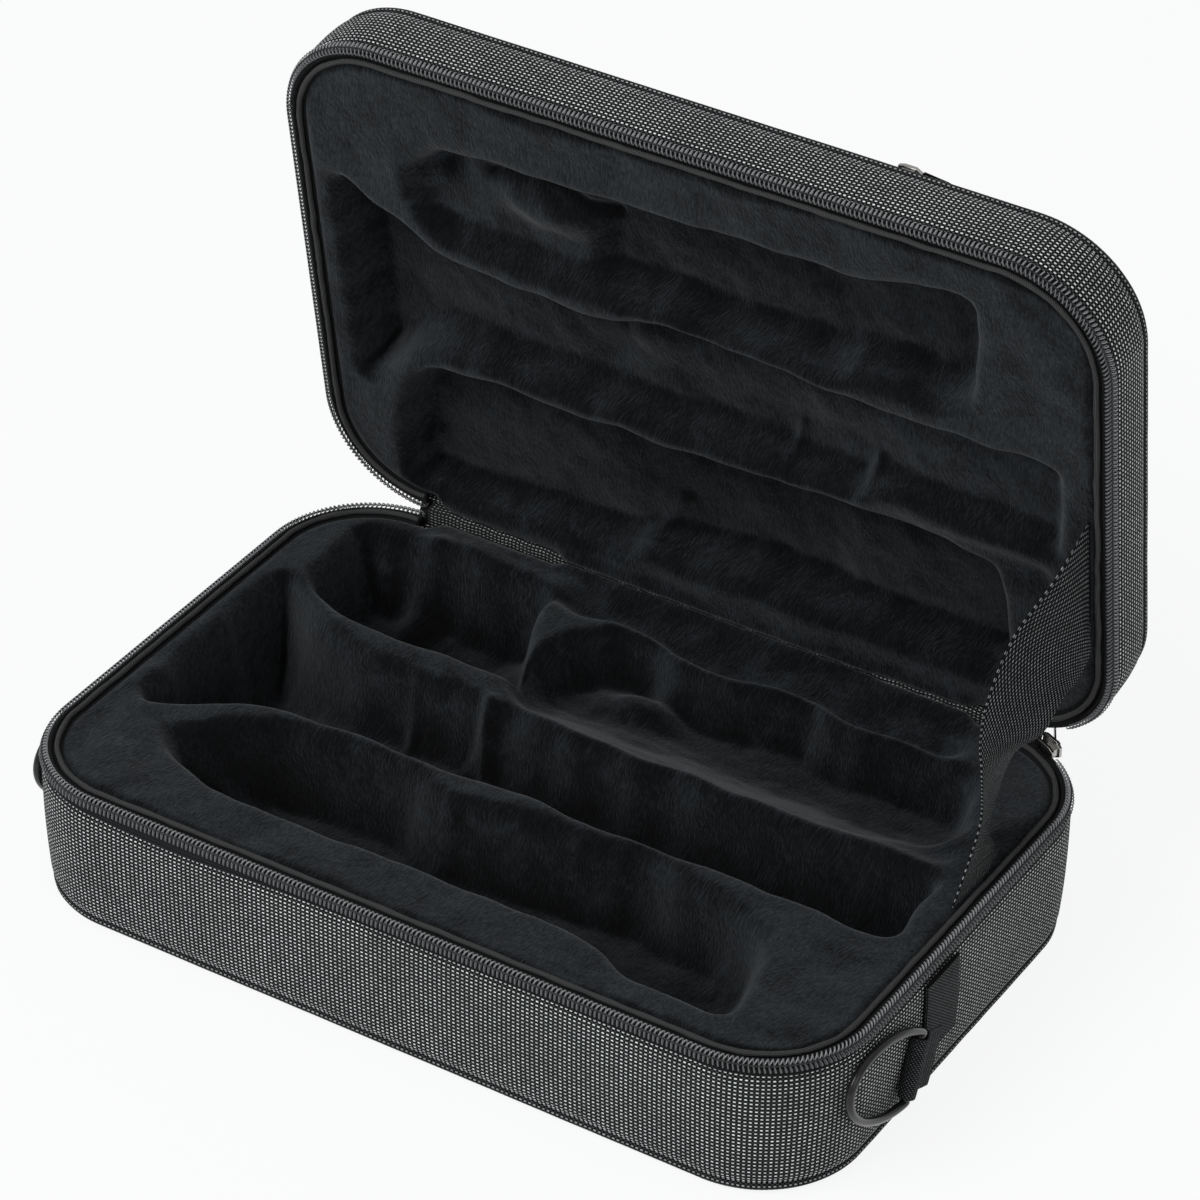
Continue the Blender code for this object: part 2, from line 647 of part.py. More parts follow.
def smooth_line(points, steps):
    """A Catmull-Rom curve through the points, with steps pieces between each two."""
    padded = np.vstack([2 * points[0] - points[1], points, 2 * points[-1] - points[-2]])
    t = (np.arange(steps) / steps)[:, None]
    pieces = []
    for a, b, c, d in zip(padded, padded[1:], padded[2:], padded[3:]):
        pieces.append(b + t * (c - a) / 2 + t ** 2 * (a - 2.5 * b + 2 * c - d / 2)
                      + t ** 3 * (1.5 * b - 1.5 * c + d / 2 - a / 2))
    return np.vstack(pieces + [points[-1:]])


def make_strap():
    """The slack webbing stay: a ribbon between two edge lines, sewn flat on both rims."""
    inner = HALF_LENGTH - LINER_OFFSET - GAP
    rise = LINER_DROP - GAP - STRAP_THICKNESS / 2
    table = np.array(STRAP_EDGE_SHARES)
    table[:, ::3] = inner - table[:, ::3] * STRAP_SAG
    table[:, 1::3] *= CASE_DEPTH
    table[:, 2::3] = BASE_HEIGHT + table[:, 2::3] * CASE_DEPTH
    front = np.vstack([lid_to_world(inner, STRAP_LID_FRONT, rise), table[:, :3],
                       (inner, STRAP_BASE_FRONT, BASE_HEIGHT - rise)])
    back = np.vstack([lid_to_world(inner, STRAP_LID_BACK, rise), table[:, 3:],
                      (inner, STRAP_BASE_BACK, BASE_HEIGHT - rise)])
    front, back = smooth_line(front, STRAP_STEPS), smooth_line(back, STRAP_STEPS)
    along = np.gradient((front + back) / 2, axis=0)
    face = np.cross(along, back - front)
    phi = math.radians(OPEN_ANGLE)
    face /= np.linalg.norm(face, axis=1)[:, None]
    lid_normal = np.array((0.0, math.sin(phi), math.cos(phi)))
    face[0] = lid_normal * np.sign(face[0] @ lid_normal)
    face *= STRAP_THICKNESS / 2
    across = np.linspace(0.0, 1.0, STRAP_ACROSS)[None, :, None]
    middle = front[:, None] * (1 - across) + back[:, None] * across
    rows, columns = middle.shape[:2]
    count = rows * columns
    verts = np.vstack([(middle - face[:, None]).reshape(-1, 3), (middle + face[:, None]).reshape(-1, 3)])
    edge = border(rows, columns)
    faces = grid_faces(rows, columns, 0) + grid_faces(rows, columns, count)
    faces += [(a, b, b + count, a + count) for a, b in zip(edge, edge[1:] + edge[:1])]
    add_mesh("stay_strap", verts, faces, webbing())


def ring_path():
    """A D: a straight bar along Z at the origin and an oval bow that reaches towards -Y."""
    half = (RING_WIDTH - RING_WIRE) / 2
    reach = RING_DEPTH - RING_WIRE
    centre = reach * RING_CENTRE_SHARE
    semi = reach - centre
    limit = math.acos(-centre / semi)
    angles = np.linspace(limit, -limit, 17)
    bow = [(0.0, -centre - semi * math.cos(a), half * math.sin(a)) for a in angles]
    corner = half * math.sin(limit) * 0.86
    return np.array(bow + [(0.0, 0.0, -corner), (0.0, 0.0, corner)])


def make_ring(name, side):
    """A wire D-ring in a webbing loop on one end wall, and the webbing that carries it."""
    wall_x = HALF_LENGTH
    bar_x = wall_x + GAP + TAB_THICKNESS + GAP + RING_WIRE / 2
    holder = add_axis(name + "_tilt", (side * bar_x, RING_Y, RING_Z), (math.radians(RING_TILT), 0.0, 0.0))
    axis = add_axis(name + "_axis", (0.0, 0.0, 0.0), (0.0, 0.0, side * math.radians(RING_SWING)), holder)
    tube(name, ring_path(), (RING_WIRE / 2, RING_WIRE / 2), RING_SIDES, black_metal(), axis,
         closed=True, across=(1.0, 0.0, 0.0))

    inner = RING_WIRE / 2 + GAP
    outer = inner + TAB_THICKNESS
    angles = np.radians(np.linspace(90, 270, 9))
    fold = [(outer * math.sin(a), outer * math.cos(a)) for a in angles]
    hollow = [(inner * math.sin(a), inner * math.cos(a)) for a in angles[::-1]]
    low = -inner + GAP
    section = [(low + TAB_THICKNESS, TAB_TAIL), (low + TAB_THICKNESS, TAB_MEET), (outer, TAB_SHOULDER)]
    section += fold + [(-outer, TAB_TAIL), (-inner, TAB_TAIL)] + hollow
    section += [(inner, TAB_SHOULDER), (low, TAB_MEET), (low, TAB_TAIL)]
    half = TAB_WIDTH / 2
    tab = prism(name + "_tab", [(side * x, y) for x, y in section], -half, half, webbing(), holder)
    near = side * (wall_x + GAP + TAB_SKEW)
    far = side * (wall_x + GAP + 2 * TAB_THICKNESS)
    top = BASE_HEIGHT - WALL_TOP - GAP
    strip = block(name + "_anchor", (min(near, far), ANCHOR_Y - TAB_WIDTH / 2, ANCHOR_LOW),
                  (max(near, far), ANCHOR_Y + TAB_WIDTH / 2, top), webbing())
    unite(tab, strip)


def prism(name, outline, low, high, finish, parent=None, axis=2):
    """An outline of two coordinates, extruded between two values of the third."""
    verts = []
    for level in (low, high):
        for a, b in outline:
            point = [a, b]
            point.insert(axis, level)
            verts.append(tuple(point))
    count = len(outline)
    faces = [(k, (k + 1) % count, count + (k + 1) % count, count + k) for k in range(count)]
    faces += [tuple(range(count)), tuple(range(count, 2 * count))]
    return add_mesh(name, verts, faces, finish, parent)


def bridge_outline(length, rise, wire, foot):
    """The arch on a slider that its pull hangs from, as a closed outline."""
    angles = np.radians(np.linspace(180, 0, 7))
    outer = [(length / 2 * math.cos(a), foot + rise * math.sin(a)) for a in angles]
    inner = [((length / 2 - wire) * math.cos(a), foot + (rise - wire) * math.sin(a)) for a in angles[::-1]]
    return outer + inner


def make_main_slider():
    """The parked slider: two plates on a wedge-shaped core, a bridge and a hanging pull."""
    angle = math.radians(90 - SLIDER_ANGLE)
    direction = np.array((math.cos(angle), math.sin(angle)))
    centre = np.array((CORNER_X, CORNER_Y)) + (CORNER_RADIUS + SLIDER_PROUD - SLIDER_PLATE) * direction
    seat = add_axis("main_slider_seat", (*centre, BASE_HEIGHT), (0.0, 0.0, angle - math.pi / 2))
    half_l, half_w = SLIDER_LENGTH / 2, SLIDER_WIDTH / 2
    one_side = [(-half_l, half_w * 0.8), (-half_l * 0.6, half_w), (half_l * 0.5, half_w), (half_l, half_w * 0.55)]
    plate = [(x, -z) for x, z in one_side] + one_side[::-1]
    front = prism("main_slider", plate, 0.0, SLIDER_PLATE, nickel(), seat, axis=1)
    core = [(-half_l * 0.2, -half_w * 0.25), (half_l * 0.85, -half_w * 0.4),
            (half_l * 0.85, half_w * 0.4), (-half_l * 0.2, half_w * 0.25)]
    wedge = prism("main_slider_core", core, -SLIDER_CORE - SLIDER_PLATE / 2, SLIDER_PLATE / 2,
                  nickel(), seat, axis=1)
    narrow = [(x, z * SLIDER_BACK_WIDTH / SLIDER_WIDTH) for x, z in plate]
    back = prism("main_slider_back", narrow, -SLIDER_CORE - SLIDER_PLATE, -SLIDER_CORE,
                 nickel(), seat, axis=1)
    arch = bridge_outline(BRIDGE_LENGTH, BRIDGE_RISE, BRIDGE_WIRE, SLIDER_PLATE / 2)
    bridge = prism("main_slider_bridge", arch, -BRIDGE_WIDTH / 2, BRIDGE_WIDTH / 2, nickel(), seat, axis=2)
    for tool in (wedge, back, bridge):
        unite(front, tool)

    laid_back = (0.0, 0.0, math.radians(PULL_REST))
    axis = add_axis("main_pull_axis", (0.0, PULL_HANG, 0.0), laid_back, seat)
    make_pull("main_slider_pull", axis, PULL_LENGTH, PULL_WIDTH, PULL_THICKNESS, nickel(), axis=1)


def make_pull(name, parent, length, width, thickness, finish, axis):
    """A flat pull whose eye goes round the slider's bridge; its bar lies on the joint's axis."""
    half = BRIDGE_WIDTH / 2 + GAP
    arm = half + 2 * PULL_BAR
    wide = max(width / 2, arm)
    neck = PULL_HOLE + 2 * PULL_BAR
    outline = [(-PULL_BAR, -arm), (neck, -arm), (neck + PULL_BAR, -wide), (length - wide, -wide),
               (length, -wide / 2), (length, wide / 2), (length - wide, wide), (neck + PULL_BAR, wide),
               (neck, arm), (-PULL_BAR, arm)]
    hole = [(PULL_BAR, -half), (PULL_HOLE, -half), (PULL_HOLE, half), (PULL_BAR, half)]
    body = prism(name, outline, -thickness / 2, thickness / 2, finish, parent, axis)
    cutter = prism(name + "_eye", hole, -thickness, thickness, finish, parent, axis)
    carve = body.modifiers.new("eye", "BOOLEAN")
    carve.operation = "DIFFERENCE"
    carve.solver = "EXACT"
    carve.object = cutter
    cutter.hide_render = True
    cutter.display_type = "WIRE"
    return body


def make_pocket(lid):
    """The crowned pocket sewn on the lid's outer face, with its piping, zipper, slider and pull."""
    corner_x = POCKET_LENGTH / 2 - POCKET_RADIUS
    corner_y = POCKET_DEPTH / 2 - POCKET_RADIUS
    raw = loop_stations(corner_x, corner_y, CORNER_STEPS - 1)
    raw[:, 1] += POCKET_Y
    stations = lid.stations(raw)
    centre = np.array((-lid.origin[0], POCKET_Y - lid.origin[1]))
    base = lid.height + GAP
    outline = at_offset(stations, 0.0, POCKET_RADIUS)
    count = len(outline)

    def dome(inset):
        rings = []
        for share in POCKET_RING_SHARES:
            flat = centre + (outline - centre) * share * (1 - inset / (POCKET_DEPTH / 2))
            edge = 0.0 if share == 1.0 else POCKET_RISE
            height = base + edge + POCKET_CROWN * (1 - share ** 2.4) - (0.0 if share == 1.0 else inset)
            rings.append(np.column_stack([flat, np.full(count, lid.z(height))]))
        peak = np.array([[*centre, lid.z(base + POCKET_RISE + POCKET_CROWN - inset)]])
        return np.vstack(rings + [peak])

    outer, inner = dome(0.0), dome(POCKET_CLOTH)
    levels = len(POCKET_RING_SHARES)
    size = len(outer)
    faces = []
    for shift in (0, size):
        for k in range(levels - 1):
            for j in range(count):
                a, b = shift + k * count + j, shift + k * count + (j + 1) % count
                faces.append((a, b, b + count, a + count))
        last = shift + (levels - 1) * count
        faces += [(last + j, last + (j + 1) % count, shift + size - 1) for j in range(count)]
    faces += [(j, (j + 1) % count, size + (j + 1) % count, size + j) for j in range(count)]
    add_mesh("pocket_panel", np.vstack([outer, inner]), faces, woven(), lid.parent, smooth=60.0)
    cord = circle_profile(-POCKET_PIPING - GAP, base + POCKET_PIPING, POCKET_PIPING, BINDING_SIDES)
    swept("pocket_piping", stations, lid.profile(cord), woven(), lid.parent, radius=POCKET_RADIUS)

    front = POCKET_Y - POCKET_DEPTH / 2 - 2 * POCKET_PIPING - 2 * GAP
    half = POCKET_ZIP_LENGTH / 2
    tape_y = (front - POCKET_TAPE_WIDTH - lid.origin[1], front - lid.origin[1])
    tape_z = (lid.z(base), lid.z(base + POCKET_TAPE))
    block("pocket_zipper_tape", (-half, tape_y[0], tape_z[0]), (half, tape_y[1], tape_z[1]),
          nylon(), lid.parent)
    chain_y = (tape_y[0] + tape_y[1]) / 2
    coil_low = lid.z(base + POCKET_TAPE + GAP)
    coil_high = coil_low + POCKET_COIL_HEIGHT
    coil_waist = coil_low + POCKET_COIL_HEIGHT / 2
    narrow, wide = POCKET_COIL_WIDTH * 0.3, POCKET_COIL_WIDTH / 2
    section = [(chain_y - wide, coil_low), (chain_y + wide, coil_low), (chain_y + wide, coil_waist),
               (chain_y + narrow, coil_high), (chain_y - narrow, coil_high), (chain_y - wide, coil_waist)]
    inset = half - 2 * POCKET_COIL_WIDTH
    prism("pocket_zipper_coil", section, -inset, inset, coil_finish(), lid.parent, axis=0)

    top = coil_high + GAP
    half_l, half_w = POCKET_SLIDER_LENGTH / 2, POCKET_SLIDER_WIDTH / 2
    slider_x = POCKET_ZIP_LENGTH * POCKET_SLIDER_SHARE
    seat = add_axis("pocket_slider_seat", (slider_x, chain_y, top), parent=lid.parent)
    one_side = [(-half_l, half_w * 0.8), (-half_l * 0.5, half_w), (half_l * 0.5, half_w), (half_l, half_w * 0.6)]
    plate = [(x, -y) for x, y in one_side] + one_side[::-1]
    body = prism("pocket_slider", plate, 0.0, POCKET_SLIDER_TOP, nickel(), seat)
    skirt_in = POCKET_COIL_WIDTH / 2 + GAP
    drop = -(POCKET_COIL_HEIGHT + GAP) * 0.8
    for side in (-1, 1):
        low_y, high_y = sorted((side * skirt_in, side * (half_w - GAP)))
        skirt = block("pocket_slider_skirt", (-half_l * 0.5, low_y, drop),
                      (half_l * 0.5, high_y, POCKET_SLIDER_TOP / 2), nickel(), seat)
        unite(body, skirt)
    arch = bridge_outline(BRIDGE_LENGTH, BRIDGE_RISE, BRIDGE_WIRE, POCKET_SLIDER_TOP - SLIDER_PLATE / 2)
    bridge = prism("pocket_slider_bridge", arch, -BRIDGE_WIDTH / 2, BRIDGE_WIDTH / 2,
                   nickel(), seat, axis=1)
    unite(body, bridge)
    hang = POCKET_SLIDER_TOP + PULL_HANG - SLIDER_PLATE
    axis = add_axis("pocket_pull_axis", (0.0, 0.0, hang), parent=seat)
    make_pull("pocket_slider_pull", axis, POCKET_PULL_LENGTH, POCKET_PULL_WIDTH, PULL_THICKNESS,
              webbing(), axis=2)


def make_handle():
    """A moulded grip that pivots on two pins in lugs on the spine, and hangs down at rest."""
    pivot = (0.0, HALF_DEPTH + GAP + HANDLE_STAND, HANDLE_Z)
    axis = add_axis("handle_axis", pivot)
    half, drop = HANDLE_SPAN / 2, HANDLE_DROP
    grip = HANDLE_GRIP_SPAN / 2
    bend = half - grip
    angles = np.radians(np.linspace(0, 90, 5))
    right = [(half, 0.0, 0.0), (half, 0.0, -(drop - bend) * 0.5)]
    right += [(grip + bend * math.cos(a), 0.0, -(drop - bend) - bend * math.sin(a)) for a in angles]
    spread = [(grip * share, 0.0, -drop) for share in (0.8, 0.4, 0.0)]
    one_side = right + spread
    path = one_side + [(-x, y, z) for x, y, z in one_side[-2::-1]]
    along = np.linspace(-1.0, 1.0, len(path))
    fat = np.clip(1.25 - abs(along) * 1.25, 0.0, 1.0)[:, None]
    radii = np.array((HANDLE_NECK, HANDLE_NECK)) * (1 - fat) + np.array((HANDLE_THICK, HANDLE_WIDE)) * fat
    body = tube("carry_handle", path, radii, 10, moulded(), axis, across=(0.0, 1.0, 0.0))
    for side in (-1, 1):
        start, end = side * (half - HANDLE_NECK / 2), side * (half + HANDLE_NECK + PIN_LENGTH)
        pin = tube("handle_pin", [(start, 0.0, 0.0), (end, 0.0, 0.0)], (PIN_RADIUS, PIN_RADIUS), 12,
                   moulded(), axis, across=(0.0, 0.0, 1.0))
        unite(body, pin)
        make_lug("handle_lug_" + ("right" if side > 0 else "left"), side, pivot)


def make_lug(name, side, pivot):
    """A lug: a plate on the spine and a bored boss that holds the handle's pin."""
    start = side * (HANDLE_SPAN / 2 + HANDLE_NECK + GAP)
    end = start + side * LUG_WIDTH
    low, high = sorted((start, end))
    turns = np.radians(np.linspace(0, 360, 17))[:-1]
    outer = [(pivot[1] + LUG_RADIUS * math.cos(a), pivot[2] + LUG_RADIUS * math.sin(a)) for a in turns]
    inner = [(pivot[1] + LUG_BORE * math.cos(a), pivot[2] + LUG_BORE * math.sin(a)) for a in turns]
    count = len(turns)
    verts = [(x, y, z) for x in (low, high) for ring in (outer, inner) for y, z in ring]
    faces = []
    for j in range(count):
        k = (j + 1) % count
        faces += [(j, k, 2 * count + k, 2 * count + j), (count + j, count + k, 3 * count + k, 3 * count + j),
                  (j, k, count + k, count + j), (2 * count + j, 2 * count + k, 3 * count + k, 3 * count + j)]
    boss = add_mesh(name, verts, faces, moulded())
    near = HALF_DEPTH + GAP
    middle = (start + end) / 2
    bottom = pivot[2] - LUG_PLATE_HEIGHT / 2
    plate = block(name + "_plate", (middle - LUG_PLATE_LENGTH / 2, near, bottom),
                  (middle + LUG_PLATE_LENGTH / 2, near + LUG_PLATE, bottom + LUG_PLATE_HEIGHT - LUG_PLATE),
                  moulded())
    neck = block(name + "_neck", (low, near + LUG_PLATE / 2, pivot[2] - LUG_RADIUS * 0.8),
                 (high, pivot[1] - LUG_BORE - GAP, pivot[2] + LUG_RADIUS * 0.8), moulded())
    unite(boss, plate)
    unite(boss, neck)


def build():
    """The whole case, from the base up."""
    remove_everything()
    base = Half("base", BASE_HEIGHT, BASE_TAPER, -1, None, (0.0, 0.0, 0.0))
    make_half(base, (BASE_FRONT_SHARES, BASE_MIDDLE_SHARES, BASE_BACK_SHARES), BASE_RECESS)
    hinge = add_axis("lid_axis", (0.0, AXIS_Y, AXIS_Z), (-math.radians(OPEN_ANGLE), 0.0, 0.0))
    lid = Half("lid", LID_HEIGHT, LID_TAPER, 1, hinge, (0.0, AXIS_Y, AXIS_Z))
    make_half(lid, (LID_FRONT_SHARES, LID_MIDDLE_SHARES, LID_BACK_SHARES), LID_RECESS)
    make_pocket(lid)
    make_hinge_cloth()
    make_strap()
    for name, side in (("right_d_ring", 1), ("left_d_ring", -1)):
        make_ring(name, side)
    make_main_slider()
    make_handle()


build()
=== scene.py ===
import math

import bmesh
import bpy
import numpy as np
from mathutils import Matrix, Vector


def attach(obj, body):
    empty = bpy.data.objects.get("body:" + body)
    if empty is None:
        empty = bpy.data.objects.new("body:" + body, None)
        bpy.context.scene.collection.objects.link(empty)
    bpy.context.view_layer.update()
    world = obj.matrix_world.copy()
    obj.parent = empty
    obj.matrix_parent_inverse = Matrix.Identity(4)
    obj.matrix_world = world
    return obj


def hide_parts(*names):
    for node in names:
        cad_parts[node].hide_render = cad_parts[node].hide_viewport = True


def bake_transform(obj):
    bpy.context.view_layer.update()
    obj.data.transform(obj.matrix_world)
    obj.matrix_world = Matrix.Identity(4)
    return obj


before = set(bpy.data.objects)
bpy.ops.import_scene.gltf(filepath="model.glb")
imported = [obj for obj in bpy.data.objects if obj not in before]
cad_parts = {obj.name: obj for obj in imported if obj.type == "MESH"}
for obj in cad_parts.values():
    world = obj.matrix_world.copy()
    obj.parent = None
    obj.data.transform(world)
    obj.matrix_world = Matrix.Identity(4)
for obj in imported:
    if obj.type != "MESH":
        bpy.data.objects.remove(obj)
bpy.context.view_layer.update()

# Soft clarinet case, open on a table. X runs along the case, Y from the front to the hinge, Z up.
# Every shape is worked out on the shut case first: a point is (x, y, h), where h is the height
# measured from the plane in which the two rims meet, outwards into one half. placeBase and
# placeLid then carry it to where it is, the lid being open.
case = dict(length=0.360, depth=0.232, corner=0.045, baseHeight=0.0644, lidHeight=0.0343,
            openAngle=81.0, axisInset=0.0011, axisRise=0.0013, gap=0.0003)
halfX, halfY, cornerR = case["length"] / 2, case["depth"] / 2, case["corner"]
cornerX, cornerY = halfX - cornerR, halfY - cornerR
axisY, axisZ = halfY - case["axisInset"], case["baseHeight"] + case["axisRise"]
opened = math.radians(case["openAngle"])


def placeBase(points):
    # z = base height - h
    p = np.asarray(points, float)
    return np.stack([p[..., 0], p[..., 1], case["baseHeight"] - p[..., 2]], axis=-1)


def placeLid(points):
    # the shut lid's point, turned about the hinge line by the opening angle
    p = np.asarray(points, float)
    dy, dz = p[..., 1] - axisY, case["baseHeight"] + p[..., 2] - axisZ
    return np.stack([p[..., 0], axisY + dy * math.cos(opened) + dz * math.sin(opened),
                     axisZ - dy * math.sin(opened) + dz * math.cos(opened)], axis=-1)


halves = dict(
    base=dict(place=placeBase, height=case["baseHeight"], taper=0.0015, body="base", face="bottom",
              wallSeed=3, pipingSeed=11, tapeSeed=31, bindingSeed=51),
    lid=dict(place=placeLid, height=case["lidHeight"], taper=0.0006, body="lid", face="outer",
             wallSeed=5, pipingSeed=12, tapeSeed=37, bindingSeed=57))


# Meshes
def finishMesh(name, verts, faces, material, body, uv=None, smooth=40.0, closed=True):
    # one mesh object at the origin; uv is one (u, v) for each corner of each face, in face order
    mesh = bpy.data.meshes.new(name)
    mesh.from_pydata(np.asarray(verts, float).reshape(-1, 3).tolist(), [], [list(f) for f in faces])
    if uv is not None:
        layer = mesh.uv_layers.new(name="weave")
        layer.data.foreach_set("uv", np.asarray(uv, np.float32).ravel())
    if closed:
        points = np.asarray(verts, float).reshape(-1, 3)
        mesh.calc_loop_triangles()
        tri = np.zeros(len(mesh.loop_triangles) * 3, np.int32)
        mesh.loop_triangles.foreach_get("vertices", tri)
        a, b, c = points[tri.reshape(-1, 3).T]
        if float((a * np.cross(b, c)).sum()) < 0:
            mesh.flip_normals()
    mesh.shade_smooth()
    mesh.set_sharp_from_angle(angle=math.radians(smooth))
    mesh.materials.append(material)
    made = bpy.data.objects.new(name, mesh)
    bpy.context.scene.collection.objects.link(made)
    if body:
        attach(made, body)
    return made


def gridQuads(rows, columns, wrapRows=False, wrapColumns=False, start=0):
    # indices of the quads over a grid of points, going round where a direction is closed
    i = np.arange(rows if wrapRows else rows - 1)[:, None]
    j = np.arange(columns if wrapColumns else columns - 1)[None, :]
    i2, j2 = (i + 1) % rows, (j + 1) % columns
    quads = np.stack([i * columns + j, i2 * columns + j, i2 * columns + j2, i * columns + j2], axis=-1)
    return start + quads.reshape(-1, 4)


def gridUv(u, v):
    # the four corners' (u, v) of each quad, u along the rows and v along the columns
    uu, vv = (np.asarray(u), np.asarray(v)) if np.ndim(u) == 2 else np.meshgrid(u, v, indexing="ij")
    both = np.stack([uu, vv], axis=-1)
    return np.stack([both[:-1, :-1], both[1:, :-1], both[1:, 1:], both[:-1, 1:]], axis=2).reshape(-1, 2)


def arcLength(points, closed=False):
    # running length along a line of points, with the closing step where it is closed
    steps = np.linalg.norm(np.diff(np.vstack([points, points[:1]]) if closed else points, axis=0), axis=1)
    return np.concatenate([[0.0], np.cumsum(steps)])


def bandMesh(name, rings, material, body, closed=True, along=None, smooth=40.0, uvShift=0.0):
    # a closed profile carried along a path: rings is (stations, profile points, 3); u is the
    # length along the path and v the length round the profile
    rings = np.asarray(rings, float)
    rows, columns = rings.shape[:2]
    u = arcLength(rings[:, 0], closed) if along is None else np.asarray(along)
    v = arcLength(rings[0], True) + uvShift
    quads = gridQuads(rows, columns, closed, True)
    uv = gridUv(u, v)
    faces = quads.tolist()
    if not closed:
        for start, order in ((0, 1), ((rows - 1) * columns, -1)):
            faces.append(list(range(start, start + columns))[::order])
            uv = np.vstack([uv, np.zeros((columns, 2))])
    return finishMesh(name, rings, faces, material, body, uv, smooth)


def smoothLine(points, steps, closed=False):
    # Catmull-Rom curve: each piece is b + t(c-a)/2 + t2(a-2.5b+2c-d/2) + t3(1.5b-1.5c+d/2-a/2)
    p = np.asarray(points, float)
    p = np.vstack([p[-1:], p, p[:2]]) if closed else np.vstack([2 * p[:1] - p[1:2], p, 2 * p[-1:] - p[-2:-1]])
    a, b, c, d = p[:-3, None], p[1:-2, None], p[2:-1, None], p[3:, None]
    t = (np.arange(steps) / steps)[None, :, None]
    curve = (b + t * (c - a) / 2 + t ** 2 * (a - 2.5 * b + 2 * c - d / 2)
             + t ** 3 * (1.5 * b - 1.5 * c + d / 2 - a / 2)).reshape(-1, p.shape[1])
    return curve if closed else np.vstack([curve, np.asarray(points, float)[-1:]])


def tubeRings(path, radius, sides, across, closed=False, squeeze=1.0):
    # circles round a path: side is across x tangent, up is tangent x side
    path = np.asarray(path, float)
    ahead = np.roll(path, -1, 0) - np.roll(path, 1, 0) if closed else np.gradient(path, axis=0)
    ahead /= np.linalg.norm(ahead, axis=1)[:, None]
    across = np.broadcast_to(np.asarray(across, float), path.shape)
    side = np.cross(across, ahead)
    side /= np.linalg.norm(side, axis=1)[:, None]
    up = np.cross(ahead, side)
    angle = 2 * np.pi * np.arange(sides) / sides
    radius = np.broadcast_to(np.asarray(radius, float), (len(path),))[:, None, None]
    return path[:, None] + radius * (side[:, None] * np.cos(angle)[None, :, None]
                                     + squeeze * up[:, None] * np.sin(angle)[None, :, None])


# The case's outline: a rounded rectangle, run clockwise from the back right corner
cornerArc = cornerR * math.pi / 2
outlineRuns = [("arc", cornerX, cornerY, 90), ("line", halfX, cornerY, 0, -1, 2 * cornerY),
               ("arc", cornerX, -cornerY, 0), ("line", cornerX, -halfY, -1, 0, 2 * cornerX),
               ("arc", -cornerX, -cornerY, -90), ("line", -halfX, -cornerY, 0, 1, 2 * cornerY),
               ("arc", -cornerX, cornerY, 180), ("line", -cornerX, halfY, 1, 0, 2 * cornerX)]
outlineLength = 4 * cornerArc + 4 * cornerX + 4 * cornerY


def rimStations(s):
    # (point on the outer line, direction out of the case) at lengths s along the outline
    s = np.asarray(s, float)
    at = np.mod(s, outlineLength)
    at = np.where((at == 0) & (s > 0), outlineLength, at)
    point, out = np.zeros(s.shape + (2,)), np.zeros(s.shape + (2,))
    start = 0.0
    for run in outlineRuns:
        length = cornerArc if run[0] == "arc" else run[5]
        inside = (at >= start) & (at <= start + length)
        t = at[inside] - start
        if run[0] == "arc":
            angle = np.radians(run[3]) - t / cornerR
            out[inside] = np.stack([np.cos(angle), np.sin(angle)], axis=-1)
            point[inside] = np.array(run[1:3]) + cornerR * out[inside]
        else:
            ahead = np.array(run[3:5], float)
            out[inside] = (-ahead[1], ahead[0])
            point[inside] = np.array(run[1:3]) + t[:, None] * ahead
        start += length
    return point, out


def evenSteps(first, last, step):
    return np.linspace(first, last, max(2, int(round((last - first) / step)) + 1))


def rimRings(half, s, profile):
    # the profile's (offset inwards, height) points at every station; profile may vary along s
    point, out = rimStations(s)
    profile = np.broadcast_to(np.asarray(profile, float), (len(s),) + np.asarray(profile).shape[-2:])
    flat = point[:, None] - profile[:, :, :1] * out[:, None]
    return halves[half]["place"](np.concatenate([flat, profile[:, :, 1:]], axis=2))


def wave(s, seed, size, shortest=0.02, terms=6):
    # a gentle closed wander along the outline: a few sines of whole periods with drawn phases
    draw = np.random.default_rng(seed)
    most = max(2, int(outlineLength / shortest))
    turns = draw.integers(2, most, terms)
    phase = draw.uniform(0, 2 * np.pi, terms)
    weight = 1.0 / np.sqrt(turns)
    total = (weight * np.sin(2 * np.pi * np.outer(s, turns) / outlineLength + phase)).sum(1)
    return size * total / weight.sum()


# Materials: every pattern reads the piece's own "weave" UV map, in metres, or Object coordinates
def startMaterial(name, colour=(0.05, 0.05, 0.05), roughness=0.8, metallic=0.0, **shine):
    material = bpy.data.materials.new(name)
    material.use_nodes = True
    tree = material.node_tree
    shader = tree.nodes["Principled BSDF"]
    shader.inputs["Base Color"].default_value = (*colour, 1.0)
    shader.inputs["Roughness"].default_value = roughness
    shader.inputs["Metallic"].default_value = metallic
    for socket, value in shine.items():
        shader.inputs[socket.replace("_", " ")].default_value = value
    return material, tree, shader


def wire(tree, value, socket):
    # a number is set on the socket, anything else is joined to it
    if isinstance(value, bpy.types.NodeSocket):
        tree.links.new(value, socket)
    else:
        socket.default_value = value


def calc(tree, operation, a, b=0.0, c=0.0, clamp=False):
    made = tree.nodes.new("ShaderNodeMath")
    made.operation = operation
    made.use_clamp = clamp
    for value, socket in zip((a, b, c), made.inputs):
        wire(tree, value, socket)
    return made.outputs[0]


def ramp(tree, value, low, high, start=0.0, end=1.0):
    # a smooth step of value from low..high to start..end
    made = tree.nodes.new("ShaderNodeMapRange")
    made.interpolation_type = "SMOOTHSTEP"
    for number, part in enumerate((value, low, high, start, end)):
        wire(tree, part, made.inputs[number])
    return made.outputs[0]


